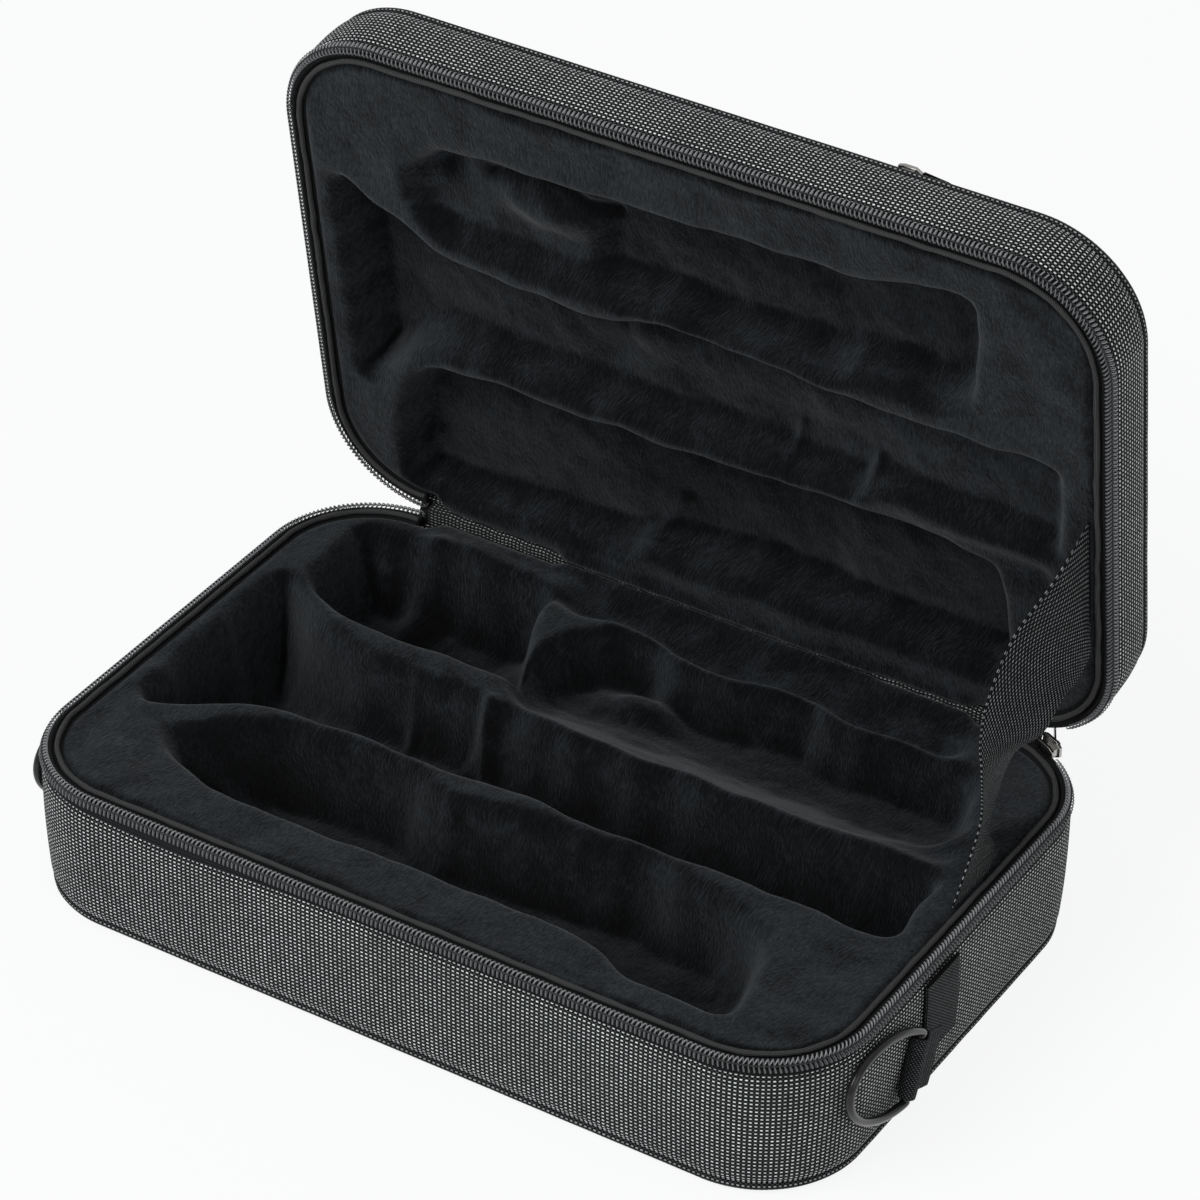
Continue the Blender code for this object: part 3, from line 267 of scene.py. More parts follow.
def blendColour(tree, share, first, second):
    made = tree.nodes.new("ShaderNodeMix")
    made.data_type = "RGBA"
    wire(tree, share, made.inputs[0])
    for colour, socket in ((first, made.inputs[6]), (second, made.inputs[7])):
        wire(tree, (*colour, 1.0) if isinstance(colour, tuple) else colour, socket)
    return made.outputs[2]


def clothUv(tree):
    made = tree.nodes.new("ShaderNodeUVMap")
    made.uv_map = "weave"
    parts = tree.nodes.new("ShaderNodeSeparateXYZ")
    tree.links.new(made.outputs[0], parts.inputs[0])
    return made.outputs[0], parts.outputs[0], parts.outputs[1]


def objectPlace(tree, stretch=(1.0, 1.0, 1.0), turn=(0.0, 0.0, 0.0)):
    place = tree.nodes.new("ShaderNodeTexCoord")
    mapping = tree.nodes.new("ShaderNodeMapping")
    mapping.inputs["Rotation"].default_value = turn
    mapping.inputs["Scale"].default_value = stretch
    tree.links.new(place.outputs["Object"], mapping.inputs[0])
    return mapping.outputs[0]


def noise(tree, where, scale, detail=2.0, rough=0.5, bend=0.0):
    made = tree.nodes.new("ShaderNodeTexNoise")
    tree.links.new(where, made.inputs["Vector"])
    made.inputs["Scale"].default_value = scale
    made.inputs["Detail"].default_value = detail
    made.inputs["Roughness"].default_value = rough
    made.inputs["Distortion"].default_value = bend
    return made.outputs[0]


def addBump(tree, shader, height, distance, strength=1.0, under=None):
    made = tree.nodes.new("ShaderNodeBump")
    made.inputs["Strength"].default_value = strength
    made.inputs["Distance"].default_value = distance
    wire(tree, height, made.inputs["Height"])
    if under is not None:
        tree.links.new(under, made.inputs["Normal"])
    tree.links.new(made.outputs[0], shader.inputs["Normal"])
    return made.outputs[0]


def dottedCloth(name, pitch, row, dotLong, dotHigh, dark, light, second=1.0, slant=0.0, depth=0.0003,
                waver=0.0):
    # black cloth with pale floats in staggered rows: |du/a|^3 + |dv/b|^3 < 1 inside a float; second is how
    # bright every other row is
    material, tree, shader = startMaterial(name, dark, 0.78, Sheen_Weight=0.02, Sheen_Roughness=0.5,
                                           Specular_IOR_Level=0.09)
    uv, u, v = clothUv(tree)
    if waver:
        wavy = calc(tree, "SINE", calc(tree, "MULTIPLY", u, 420.0))
        v = calc(tree, "ADD", v, calc(tree, "MULTIPLY", wavy, waver))
    rowPlace = calc(tree, "DIVIDE", v, row)
    rowNumber = calc(tree, "FLOOR", rowPlace)
    odd = calc(tree, "FLOORED_MODULO", rowNumber, 2.0)
    shift = calc(tree, "MULTIPLY", odd, 0.5)
    column = calc(tree, "ADD", calc(tree, "DIVIDE", u, pitch), shift)
    dv = calc(tree, "SUBTRACT", calc(tree, "FRACT", rowPlace), 0.5)
    column = calc(tree, "ADD", column, calc(tree, "MULTIPLY", dv, slant))
    columnNumber = calc(tree, "FLOOR", column)
    du = calc(tree, "SUBTRACT", calc(tree, "FRACT", column), 0.5)
    across = calc(tree, "POWER", calc(tree, "DIVIDE", calc(tree, "ABSOLUTE", du), dotLong / pitch / 2), 3.0)
    along = calc(tree, "POWER", calc(tree, "DIVIDE", calc(tree, "ABSOLUTE", dv), dotHigh / row / 2), 3.0)
    away = calc(tree, "ADD", across, along)
    dot = ramp(tree, away, 0.5, 1.3, 1.0, 0.0)
    joined = tree.nodes.new("ShaderNodeCombineXYZ")
    tree.links.new(columnNumber, joined.inputs[0])
    tree.links.new(rowNumber, joined.inputs[1])
    draw = tree.nodes.new("ShaderNodeTexWhiteNoise")
    draw.noise_dimensions = "2D"
    tree.links.new(joined.outputs[0], draw.inputs["Vector"])
    uneven = ramp(tree, draw.outputs[0], 0.0, 1.0, 0.62, 1.0)
    broad = ramp(tree, noise(tree, uv, 26.0, 3.0, 0.6), 0.3, 0.7, 0.82, 1.0)
    dimmed = calc(tree, "SUBTRACT", 1.0, calc(tree, "MULTIPLY", odd, 1 - second))
    share = calc(tree, "MULTIPLY", calc(tree, "MULTIPLY", dot, uneven), calc(tree, "MULTIPLY", broad, dimmed))
    tree.links.new(blendColour(tree, share, dark, light), shader.inputs["Base Color"])
    fibres = noise(tree, uv, 2600.0, 2.0, 0.6)
    addBump(tree, shader, calc(tree, "ADD", dot, calc(tree, "MULTIPLY", fibres, 0.35)), depth, 0.8)
    return material


def plushCloth():
    # black pile, painted with light and shade: nearly black looked into and lighter seen along its surface, a
    # painted sheen; darker deep in a recess, a painted shade
    pile = dict(into=(0.0034, 0.0038, 0.0044), across=(0.0160, 0.0197, 0.0232), along=(0.027, 0.0330, 0.0385),
                deep=0.50, sheen=0.10, hair=1150.0, tufts=330.0, patches=75.0)
    material, tree, shader = startMaterial("blackPlush", pile["across"], 0.95, Sheen_Weight=pile["sheen"],
                                           Sheen_Roughness=0.5, Specular_IOR_Level=0.06)
    flow = noise(tree, objectPlace(tree), 21.0, 2.0, 0.5)
    bent = tree.nodes.new("ShaderNodeVectorMath")
    bent.operation = "MULTIPLY_ADD"
    tree.links.new(flow, bent.inputs[0])
    bent.inputs[1].default_value = (0.014, 0.016, 0.012)
    tree.links.new(objectPlace(tree, (1.0, 0.34, 0.34), (0.25, 0.1, 0.7)), bent.inputs[2])
    hair = noise(tree, bent.outputs[0], pile["hair"], 3.0, 0.55, 0.3)
    tufts = noise(tree, objectPlace(tree), pile["tufts"], 3.0, 0.6, 0.9)
    patches = noise(tree, objectPlace(tree), pile["patches"], 3.0, 0.55, 0.4)
    lumps = addBump(tree, shader, calc(tree, "ADD", calc(tree, "MULTIPLY", tufts, 0.3), patches), 0.0011, 0.5)
    combed = addBump(tree, shader, hair, 0.0006, 0.75, lumps)
    # painted sheen: the base colour runs from pile["into"] through pile["across"] to pile["along"] as the bumped
    # surface turns from facing the view to edge-on
    view = tree.nodes.new("ShaderNodeLayerWeight")
    view.inputs["Blend"].default_value = 0.5
    tree.links.new(combed, view.inputs["Normal"])
    tilt = calc(tree, "MULTIPLY", calc(tree, "SUBTRACT", patches, 0.5), 0.6)
    turned = calc(tree, "ADD", view.outputs["Facing"], tilt)
    low = blendColour(tree, ramp(tree, turned, 0.08, 0.46), pile["into"], pile["across"])
    full = blendColour(tree, ramp(tree, turned, 0.5, 0.95), low, pile["along"])
    # painted shade: the tray's depth attribute darkens the colour deep in the recesses, to pile["deep"] of it
    # where deepest
    paintedRecessShade = tree.nodes.new("ShaderNodeAttribute")
    paintedRecessShade.attribute_name = "paintedRecessShade"
    shade = calc(tree, "SUBTRACT", 1.0, calc(tree, "MULTIPLY", paintedRecessShade.outputs["Fac"], 1 - pile["deep"]))
    grain = calc(tree, "MULTIPLY", ramp(tree, hair, 0.32, 0.68, 0.62, 1.38),
                 ramp(tree, tufts, 0.3, 0.7, 0.80, 1.20))
    scaled = tree.nodes.new("ShaderNodeVectorMath")
    scaled.operation = "SCALE"
    tree.links.new(full, scaled.inputs[0])
    tree.links.new(calc(tree, "MULTIPLY", shade, grain), scaled.inputs["Scale"])
    tree.links.new(scaled.outputs[0], shader.inputs["Base Color"])
    return material


def knittedTape(name, dark, light):
    # nylon tape: fine wales along it, crossed by loops
    material, tree, shader = startMaterial(name, dark, 0.75, Specular_IOR_Level=0.18)
    u, v = clothUv(tree)[1:]
    wales = calc(tree, "SINE", calc(tree, "MULTIPLY", v, 2 * math.pi / 0.00062))
    loops = calc(tree, "SINE", calc(tree, "MULTIPLY", calc(tree, "ADD", u, calc(tree, "MULTIPLY", v, 0.5)),
                                    2 * math.pi / 0.0009))
    height = calc(tree, "ADD", calc(tree, "MULTIPLY", wales, 0.5), calc(tree, "MULTIPLY", loops, 0.35))
    shade = ramp(tree, height, -0.6, 0.8)
    tree.links.new(blendColour(tree, shade, dark, light), shader.inputs["Base Color"])
    addBump(tree, shader, height, 0.00016, 0.8)
    return material


def coiledNylon():
    # monofilament, with painted light and shade: the row where u is near 1 is painted paler, as the lit side,
    # than the row near -1, the shaded side; makeCoil sets u so that the hooks are the paler row on the base and
    # the row sewn to the tape on the lid
    material, tree, shader = startMaterial("coilNylon", (0.2, 0.2, 0.21), 0.36)
    u = clothUv(tree)[1]
    shade = blendColour(tree, ramp(tree, u, -0.5, 0.55), (0.115, 0.119, 0.124), (0.235, 0.242, 0.250))
    tree.links.new(shade, shader.inputs["Base Color"])
    addBump(tree, shader, noise(tree, objectPlace(tree), 900.0, 3.0, 0.6), 0.00005, 0.5)
    return material


def sheenless(name, colour, roughness, metallic, grain, bumpHeight, spread=0.25, **shine):
    # metal or moulded finish with a fine grain and slightly worn tone
    material, tree, shader = startMaterial(name, colour, roughness, metallic, **shine)
    fine = noise(tree, objectPlace(tree), grain, 3.0, 0.6)
    worn = noise(tree, objectPlace(tree), grain / 9, 2.0, 0.5)
    low = tuple(c * (1 - spread) for c in colour)
    high = tuple(min(1.0, c * (1 + spread)) for c in colour)
    tree.links.new(blendColour(tree, ramp(tree, worn, 0.3, 0.7), low, high), shader.inputs["Base Color"])
    tree.links.new(ramp(tree, fine, 0.2, 0.8, roughness * 0.8, min(1.0, roughness * 1.25)),
                   shader.inputs["Roughness"])
    addBump(tree, shader, fine, bumpHeight, 0.5)
    return material


wovenCloth = dottedCloth("wovenCloth", 0.00202, 0.00088, 0.00116, 0.00072, (0.0026, 0.0029, 0.0033),
                         (0.86, 0.88, 0.89), second=0.06)
shadedCloth = dottedCloth("shadedCloth", 0.00180, 0.00070, 0.00110, 0.00056, (0.0036, 0.0039, 0.0043),
                          (0.34, 0.35, 0.35), second=0.06, waver=0.0003)
tabCloth = dottedCloth("tabWebbing", 0.0014, 0.00080, 0.00080, 0.00046, (0.0038, 0.0041, 0.0045),
                       (0.135, 0.143, 0.150), slant=0.6, depth=0.0003)
boundCloth = dottedCloth("boundCloth", 0.00202, 0.00086, 0.00120, 0.00072, (0.0042, 0.0045, 0.0049),
                         (0.40, 0.41, 0.42), second=0.10)
webbingCloth = dottedCloth("blackWebbing", 0.0024, 0.00125, 0.00108, 0.00062, (0.0030, 0.0033, 0.0037),
                           (0.300, 0.315, 0.325), depth=0.0005)
plush = plushCloth()
tapeCloth = knittedTape("nylonTape", (0.0032, 0.0035, 0.0040), (0.015, 0.016, 0.0175))
edgeCloth = knittedTape("edgeBinding", (0.012, 0.0122, 0.0125), (0.082, 0.083, 0.085))
coilNylon = coiledNylon()
stitchThread = sheenless("stitchThread", (0.006, 0.0062, 0.0066), 0.6, 0.0, 1500.0, 0.0001)
nickelPlate = sheenless("nickelPlate", (0.56, 0.55, 0.53), 0.24, 1.0, 500.0, 0.00003)
blackEnamel = sheenless("blackEnamel", (0.010, 0.0105, 0.011), 0.15, 0.0, 300.0, 0.00003,
                        Specular_IOR_Level=0.36)
mouldedBlack = sheenless("mouldedBlack", (0.02, 0.0205, 0.021), 0.5, 0.0, 700.0, 0.0001)
paleFoam = sheenless("paleFoam", (0.42, 0.42, 0.41), 0.9, 0.0, 400.0, 0.0006)
print("materials ready")


# Floor, light and camera
def makeStage():
    stage = dict(size=4.0, colour=(0.90, 0.91, 0.91), seen=(0.985, 0.990, 0.990), shadowShare=0.11, sky=0.50)
    half = stage["size"] / 2
    mesh = bpy.data.meshes.new("studioFloor")
    mesh.from_pydata([(-half, -half, 0), (half, -half, 0), (half, half, 0), (-half, half, 0)], [],
                     [(0, 1, 2, 3)])
    floor = bpy.data.objects.new("studioFloor", mesh)
    bpy.context.scene.collection.objects.link(floor)
    material, tree, shader = startMaterial("studioFloor", stage["colour"], 0.9)
    glow = tree.nodes.new("ShaderNodeEmission")
    glow.inputs["Color"].default_value = (*stage["seen"], 1.0)
    rays = tree.nodes.new("ShaderNodeLightPath")
    seen = calc(tree, "MAXIMUM", rays.outputs["Is Camera Ray"],
                calc(tree, "MAXIMUM", rays.outputs["Is Glossy Ray"], rays.outputs["Is Transmission Ray"]))
    both = tree.nodes.new("ShaderNodeMixShader")
    tree.links.new(calc(tree, "MULTIPLY", seen, 1 - stage["shadowShare"]), both.inputs[0])
    tree.links.new(shader.outputs[0], both.inputs[1])
    tree.links.new(glow.outputs[0], both.inputs[2])
    tree.links.new(both.outputs[0], tree.nodes["Material Output"].inputs["Surface"])
    mesh.materials.append(material)

    world = bpy.data.worlds.new("studio")
    bpy.context.scene.world = world
    world.use_nodes = True
    tree = world.node_tree
    soft = tree.nodes["Background"]
    soft.inputs[0].default_value = (1.0, 1.0, 1.0, 1.0)
    soft.inputs[1].default_value = stage["sky"]
    white = tree.nodes.new("ShaderNodeBackground")
    white.inputs[0].default_value = (*stage["seen"], 1.0)
    white.inputs[1].default_value = 1.0
    rays = tree.nodes.new("ShaderNodeLightPath")
    both = tree.nodes.new("ShaderNodeMixShader")
    tree.links.new(rays.outputs["Is Camera Ray"], both.inputs[0])
    tree.links.new(soft.outputs[0], both.inputs[1])
    tree.links.new(white.outputs[0], both.inputs[2])
    tree.links.new(both.outputs[0], tree.nodes["World Output"].inputs["Surface"])


def addLamp(name, place, target, size, watts):
    data = bpy.data.lights.new(name, "AREA")
    data.shape = "RECTANGLE"
    data.size, data.size_y = size
    data.energy = watts
    lamp = bpy.data.objects.new(name, data)
    bpy.context.scene.collection.objects.link(lamp)
    lamp.location = place
    lamp.rotation_euler = (Vector(target) - Vector(place)).to_track_quat("-Z", "Y").to_euler()


def makeCamera():
    view = dict(target=(0.0, 0.054, 0.090), azimuth=31.06, elevation=35.52, roll=1.18, distance=2.0344,
                lens=157.9, sensor=36.0, shiftX=-0.0255, shiftY=0.0310)
    az, el, roll = (math.radians(view[k]) for k in ("azimuth", "elevation", "roll"))
    back = Vector((math.sin(az) * math.cos(el), -math.cos(az) * math.cos(el), math.sin(el)))
    right = Vector((math.cos(az), math.sin(az), 0.0))
    up = back.cross(right)
    xAxis = math.cos(roll) * right + math.sin(roll) * up
    yAxis = -math.sin(roll) * right + math.cos(roll) * up
    data = bpy.data.cameras.new("photoCamera")
    data.lens, data.sensor_width = view["lens"], view["sensor"]
    data.shift_x, data.shift_y = view["shiftX"], view["shiftY"]
    data.clip_start, data.clip_end = 0.05, 20.0
    camera = bpy.data.objects.new("photoCamera", data)
    bpy.context.scene.collection.objects.link(camera)
    turn = Matrix((xAxis, yAxis, back)).transposed().to_4x4()
    camera.matrix_world = Matrix.Translation(Vector(view["target"]) + view["distance"] * back) @ turn
    bpy.context.scene.camera = camera


bpy.context.scene.view_settings.view_transform = "Standard"
makeStage()
lamps = dict(key=((-0.9, -1.5, 1.9), (1.6, 1.2), 34.0), fill=((1.7, -0.9, 1.1), (1.4, 1.0), 5.0),
             top=((0.1, 0.6, 2.0), (1.8, 1.2), 1.0))
for lampName, (lampPlace, lampSize, lampWatts) in lamps.items():
    addLamp(lampName, lampPlace, (0.0, 0.05, 0.08), lampSize, lampWatts)
makeCamera()
print("stage, lamps and camera ready")


# Rims: folded zipper tape, nylon coil with its stitching, and the bound edge inside it
rim = dict(first=cornerR * math.radians(1.0), zipFirst=cornerR * math.radians(36.0),
           last=outlineLength - 2 * cornerX - cornerR * math.radians(1.0),
           tapeTop=0.0032, tapeLow=0.0080, tapeIn=0.0084, tape=0.0008, under=0.0003,
           coilFoot=(-0.00045, 0.0050), coilHead=(0.0021, 0.00075), coilThick=0.0021, pitch=0.0019,
           wireRadius=0.00030, chevron=0.60, dip=0.00045, binding=0.0011, bindingIn=0.0063, thread=0.00036)
headEdge = dict(base=0.0074, lid=0.0058, sag=0.0030, sagAt=-0.100, sagReach=0.042)


def headLine(half, s):
    # how far below the rim the woven cloth begins: level, but lower round the base's front left corner
    point = rimStations(s)[0]
    away = (point[:, 0] - headEdge["sagAt"]) / headEdge["sagReach"]
    sag = headEdge["sag"] * np.exp(-away ** 2) * (point[:, 1] < 0)
    return headEdge[half] + (sag if half == "base" else 0 * sag)


# Shell: walls, pipings and panels of woven cloth
shell = dict(wall=0.0025, bow=0.0007, panel=0.0030, piping=0.0022, inset=0.0026, wallTop=0.0083,
             step=0.0035, wander=0.00022, seamPinch=0.0008, seamReach=0.0016)


def makeWall(half):
    # outer line: offset = taper*t - bow*4t(1-t), t from the head line to the piping, pinched at both seams
    part = halves[half]
    low = part["height"] - 2 * shell["piping"] - 4 * case["gap"]
    s = evenSteps(0.0, outlineLength, shell["step"])[:-1]
    t = np.concatenate([[0.0, 0.012, 0.035], np.linspace(0.07, 0.93, 16), [0.965, 0.988, 1.0]])
    first = headLine(half, s)[:, None]
    h = first + t[None, :] * (low - first)
    edge = np.minimum(h - first, low - h)
    pinch = shell["seamPinch"] * np.exp(-(edge / shell["seamReach"]) ** 2)
    offset = part["taper"] * t - shell["bow"] * 4 * t * (1 - t) + pinch
    seed = part["wallSeed"]
    ripple = wave(s, seed, shell["wander"], 0.05)[:, None] * np.sin(np.pi * t)[None, :]
    finer = wave(s, seed + 20, shell["wander"] * 0.6, 0.02)[:, None]
    ripple = ripple + finer * np.sin(2 * np.pi * t)[None, :]
    outer = np.stack([offset + ripple, h], axis=2)
    inner = np.stack([offset + shell["wall"], h], axis=2)[:, ::-5]
    rings = rimRings(half, s, np.concatenate([outer, inner], axis=1))
    along = np.concatenate([s, [outlineLength]])
    wall = bandMesh(half + "WovenWall", rings, wovenCloth, part["body"], along=along,
                    smooth=50)
    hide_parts(half + "_side_wall")


def makePiping(half):
    part = halves[half]
    sides = 16
    angle = 2 * np.pi * np.arange(sides) / sides
    middle = (part["taper"] + shell["inset"], part["height"] - shell["piping"] - 3 * case["gap"])
    s = evenSteps(0.0, outlineLength, 0.003)[:-1]
    swell = 1 + wave(s, part["pipingSeed"], 0.05, 0.012)[:, None]
    profile = np.stack([middle[0] + shell["piping"] * swell * np.cos(angle),
                        middle[1] + shell["piping"] * np.broadcast_to(np.sin(angle), (len(s), sides))],
                       axis=2)
    along = np.concatenate([s, [outlineLength]])
    cord = bandMesh(half + "Piping", rimRings(half, s, profile), boundCloth, part["body"],
                    along=along)
    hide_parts(half + "_" + part["face"] + "_piping")


def makePanel(half):
    # rings of the outline drawn towards the middle: shares of its size, then one middle point
    part = halves[half]
    shares = np.array([1.0, 0.995, 0.97, 0.9, 0.75, 0.5, 0.25])
    s = evenSteps(0.0, outlineLength, 0.008)[:-1]
    point, out = rimStations(s)
    edge = point - (part["taper"] + shell["inset"] + shell["piping"] + case["gap"]) * out
    flat = np.concatenate([shares[:, None, None] * edge[None], np.zeros((1, len(s), 2))])
    levels = []
    for height, roll in ((part["height"], -0.0007), (part["height"] - shell["panel"], 0.0)):
        drop = np.where(np.arange(len(shares) + 1) == 0, roll, 0.0)
        levels.append(np.dstack([flat, np.broadcast_to((height + drop)[:, None], flat.shape[:2])]))
    points = part["place"](np.concatenate([levels[0][::-1], levels[1]]))
    quads = gridQuads(points.shape[0], points.shape[1], False, True)
    plan = np.concatenate([flat[::-1], flat])
    plan = np.concatenate([plan, plan[:, :1]], axis=1)
    uv = gridUv(plan[:, :, 0], plan[:, :, 1])
    panel = finishMesh(half + "Panel", points, quads.tolist(), wovenCloth, None, uv, 50)
    work = bmesh.new()
    work.from_mesh(panel.data)
    bmesh.ops.remove_doubles(work, verts=work.verts, dist=1e-6)
    work.to_mesh(panel.data)
    work.free()
    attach(panel, part["body"])
    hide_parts(half + "_" + part["face"] + "_panel")


for halfName in halves:
    makeWall(halfName)
    makePiping(halfName)
    makePanel(halfName)
print("walls, pipings and panels ready")


def makeTape(half):
    # section: a smooth line up behind the coil, over a fold inside the hooks and down flat
    s = evenSteps(rim["first"], rim["last"], 0.0025)
    low = headLine(half, s) - rim["under"]
    ripple = wave(s, halves[half]["tapeSeed"], 0.00015, 0.02)
    folded = np.clip((s - rim["zipFirst"] - 0.002) / 0.012, 0, 1)  # flat where the slider is parked
    top, rows = rim["tapeTop"], []
    for number in range(len(s)):
        rise = low[number] - 0.0047
        upright = np.array([(0.0002, low[number]), (0.0009 + ripple[number], low[number] - rise * 0.35),
                            (0.0008, 0.0047), (0.0016, 0.0038), (0.0024, 0.0027), (0.0030, 0.0018),
                            (0.0035, 0.0016), (0.0041, 0.0023), (0.0047, 0.0031), (0.0060, top),
                            (rim["tapeIn"], top)])
        level = np.array([(0.0002, low[number]), (0.0002, low[number] - rise * 0.35), (0.0002, 0.0047),
                          (0.0004, 0.0038), (0.0009, 0.0033), (0.0016, top), (0.0026, top), (0.0036, top),
                          (0.0047, top), (0.0060, top), (rim["tapeIn"], top)])
        line = smoothLine(level + (upright - level) * folded[number], 2)
        ahead = np.gradient(line, axis=0)
        ahead /= np.linalg.norm(ahead, axis=1)[:, None]
        under = line + rim["tape"] * np.column_stack([-ahead[:, 1], ahead[:, 0]])
        rows.append(np.vstack([line, under[::-2]]))
    tape = bandMesh(half + "ZipTape", rimRings(half, s, np.array(rows)), tapeCloth, halves[half]["body"],
                    closed=False, along=s, smooth=50)
    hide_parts(half + "_zipper_tape")


def coilPlace(swing, rise):
    # across the coil from its foot (-1) to its hooks (1), and out of it by rise
    foot, head = np.array(rim["coilFoot"]), np.array(rim["coilHead"])
    along = (head - foot) / np.linalg.norm(head - foot)
    out = np.array((along[1], -along[0]))
    return (foot + head) / 2 + np.multiply.outer(swing, (head - foot) / 2) + np.multiply.outer(rise, out)


def makeCoil(half):
    # a squared helix: across = cos(a)|cos(a)|^-0.25, out = sin(a)|sin(a)|^-0.4, one pitch a turn; its outer
    # legs are bent to a chevron and dip where the thread crosses
    turns = int((rim["last"] - rim["zipFirst"]) / rim["pitch"])
    points = 12
    a = 2 * np.pi * np.arange(turns * points) / points
    wireR = rim["wireRadius"]
    swing = np.sign(np.cos(a)) * np.abs(np.cos(a)) ** 0.75
    upper = np.clip(np.sin(a), 0, 1)
    rise = (rim["coilThick"] / 2 - wireR) * np.sign(np.sin(a)) * np.abs(np.sin(a)) ** 0.6
    rise = rise - rim["dip"] * upper * np.exp(-(swing / 0.24) ** 2)
    section = coilPlace(swing, rise)
    bend = rim["chevron"] * rim["pitch"] * upper * (1 - np.abs(swing))
    s = rim["zipFirst"] + rim["pitch"] * a / (2 * np.pi) + bend
    point, out = rimStations(np.clip(s, rim["zipFirst"], rim["last"]))
    path = halves[half]["place"](np.column_stack([point - section[:, :1] * out, section[:, 1]]))
    ahead = halves[half]["place"](np.column_stack([point, section[:, 1]])) - halves[half]["place"](
        np.column_stack([point - out, section[:, 1]]))
    rings = tubeRings(path, wireR, 5, np.cross(ahead, np.gradient(path, axis=0)))
    # painted light: u picks which coil row is painted paler, the hooks on the base and the row sewn to the tape
    # on the lid, whose rows face the light the other way round
    paintedLitRow = swing if half == "base" else -swing
    coil = bandMesh(half + "Coil", rings, coilNylon, halves[half]["body"], closed=False, along=paintedLitRow,
                    smooth=70)
    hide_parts(half + "_zipper_coil")


def makeThread(half):
    # one line of thread over the coil's dip, rising and falling once a pitch
    s = evenSteps(rim["zipFirst"], rim["last"], rim["pitch"] / 6)
    wander = wave(s, 41, 0.00004, 0.03)
    beat = np.cos(2 * np.pi * (s - rim["zipFirst"]) / rim["pitch"])
    section = coilPlace(wander / 0.0025, rim["coilThick"] / 2 - rim["dip"] + 0.00005 - 0.00012 * beat)
    point, out = rimStations(s)
    path = halves[half]["place"](np.column_stack([point - section[:, :1] * out, section[:, 1]]))
    rings = tubeRings(path, rim["thread"], 5, (0.3, 0.4, 0.87))
    return bandMesh(half + "CoilThread", rings, stitchThread, halves[half]["body"],
                    closed=False, smooth=70)


def makeBinding(half):
    s = evenSteps(rim["first"], rim["last"], 0.0018)
    angle = 2 * np.pi * np.arange(12) / 12
    seed = halves[half]["bindingSeed"]
    radius = rim["binding"] * (1 + wave(s, seed, 0.22, 0.006, 9))[:, None]
    level = rim["tapeTop"] - case["gap"] - rim["binding"]
    offset = rim["bindingIn"] + wave(s, seed + 1, 0.0005, 0.012, 8)
    profile = np.stack([offset[:, None] + radius * np.cos(angle), level + radius * np.sin(angle)], axis=2)
    cord = bandMesh(half + "EdgeBinding", rimRings(half, s, profile), edgeCloth, halves[half]["body"],
                    closed=False, along=s, smooth=60)
    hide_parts(half + "_edge_binding")


for halfName in halves:
    makeTape(halfName)
    makeCoil(halfName)
    makeThread(halfName)
    makeBinding(halfName)
print("rims ready")


# Trays: moulded foam under plush. Lengths here are in millimetres, on the rim's plane
tray = dict(drop=2.2, skin=2.6, under=0.35, ledge=5.3, ledgeEnd=131.0, edge=8.0, foamEdge=2.8, foamDrop=3.4,
            cellsX=312, cellsY=198, coarse=3, blur=1.05, crest=2.3, crestDepth=9.0, roll=1.3, rollReach=2.2,
            swell=0.46, crumple=0.20, wander=1.1, foamReach=4,
            cover=((-128, 0.0), (-122, 0.3), (-73, 0.3), (-67, 1.0), (72, 1.0), (78, 0.8), (116, 0.8),
                   (122, 0.0)), coverLedge=1.55, coverRise=-2.15, seed=71, gridX=184, gridY=120)

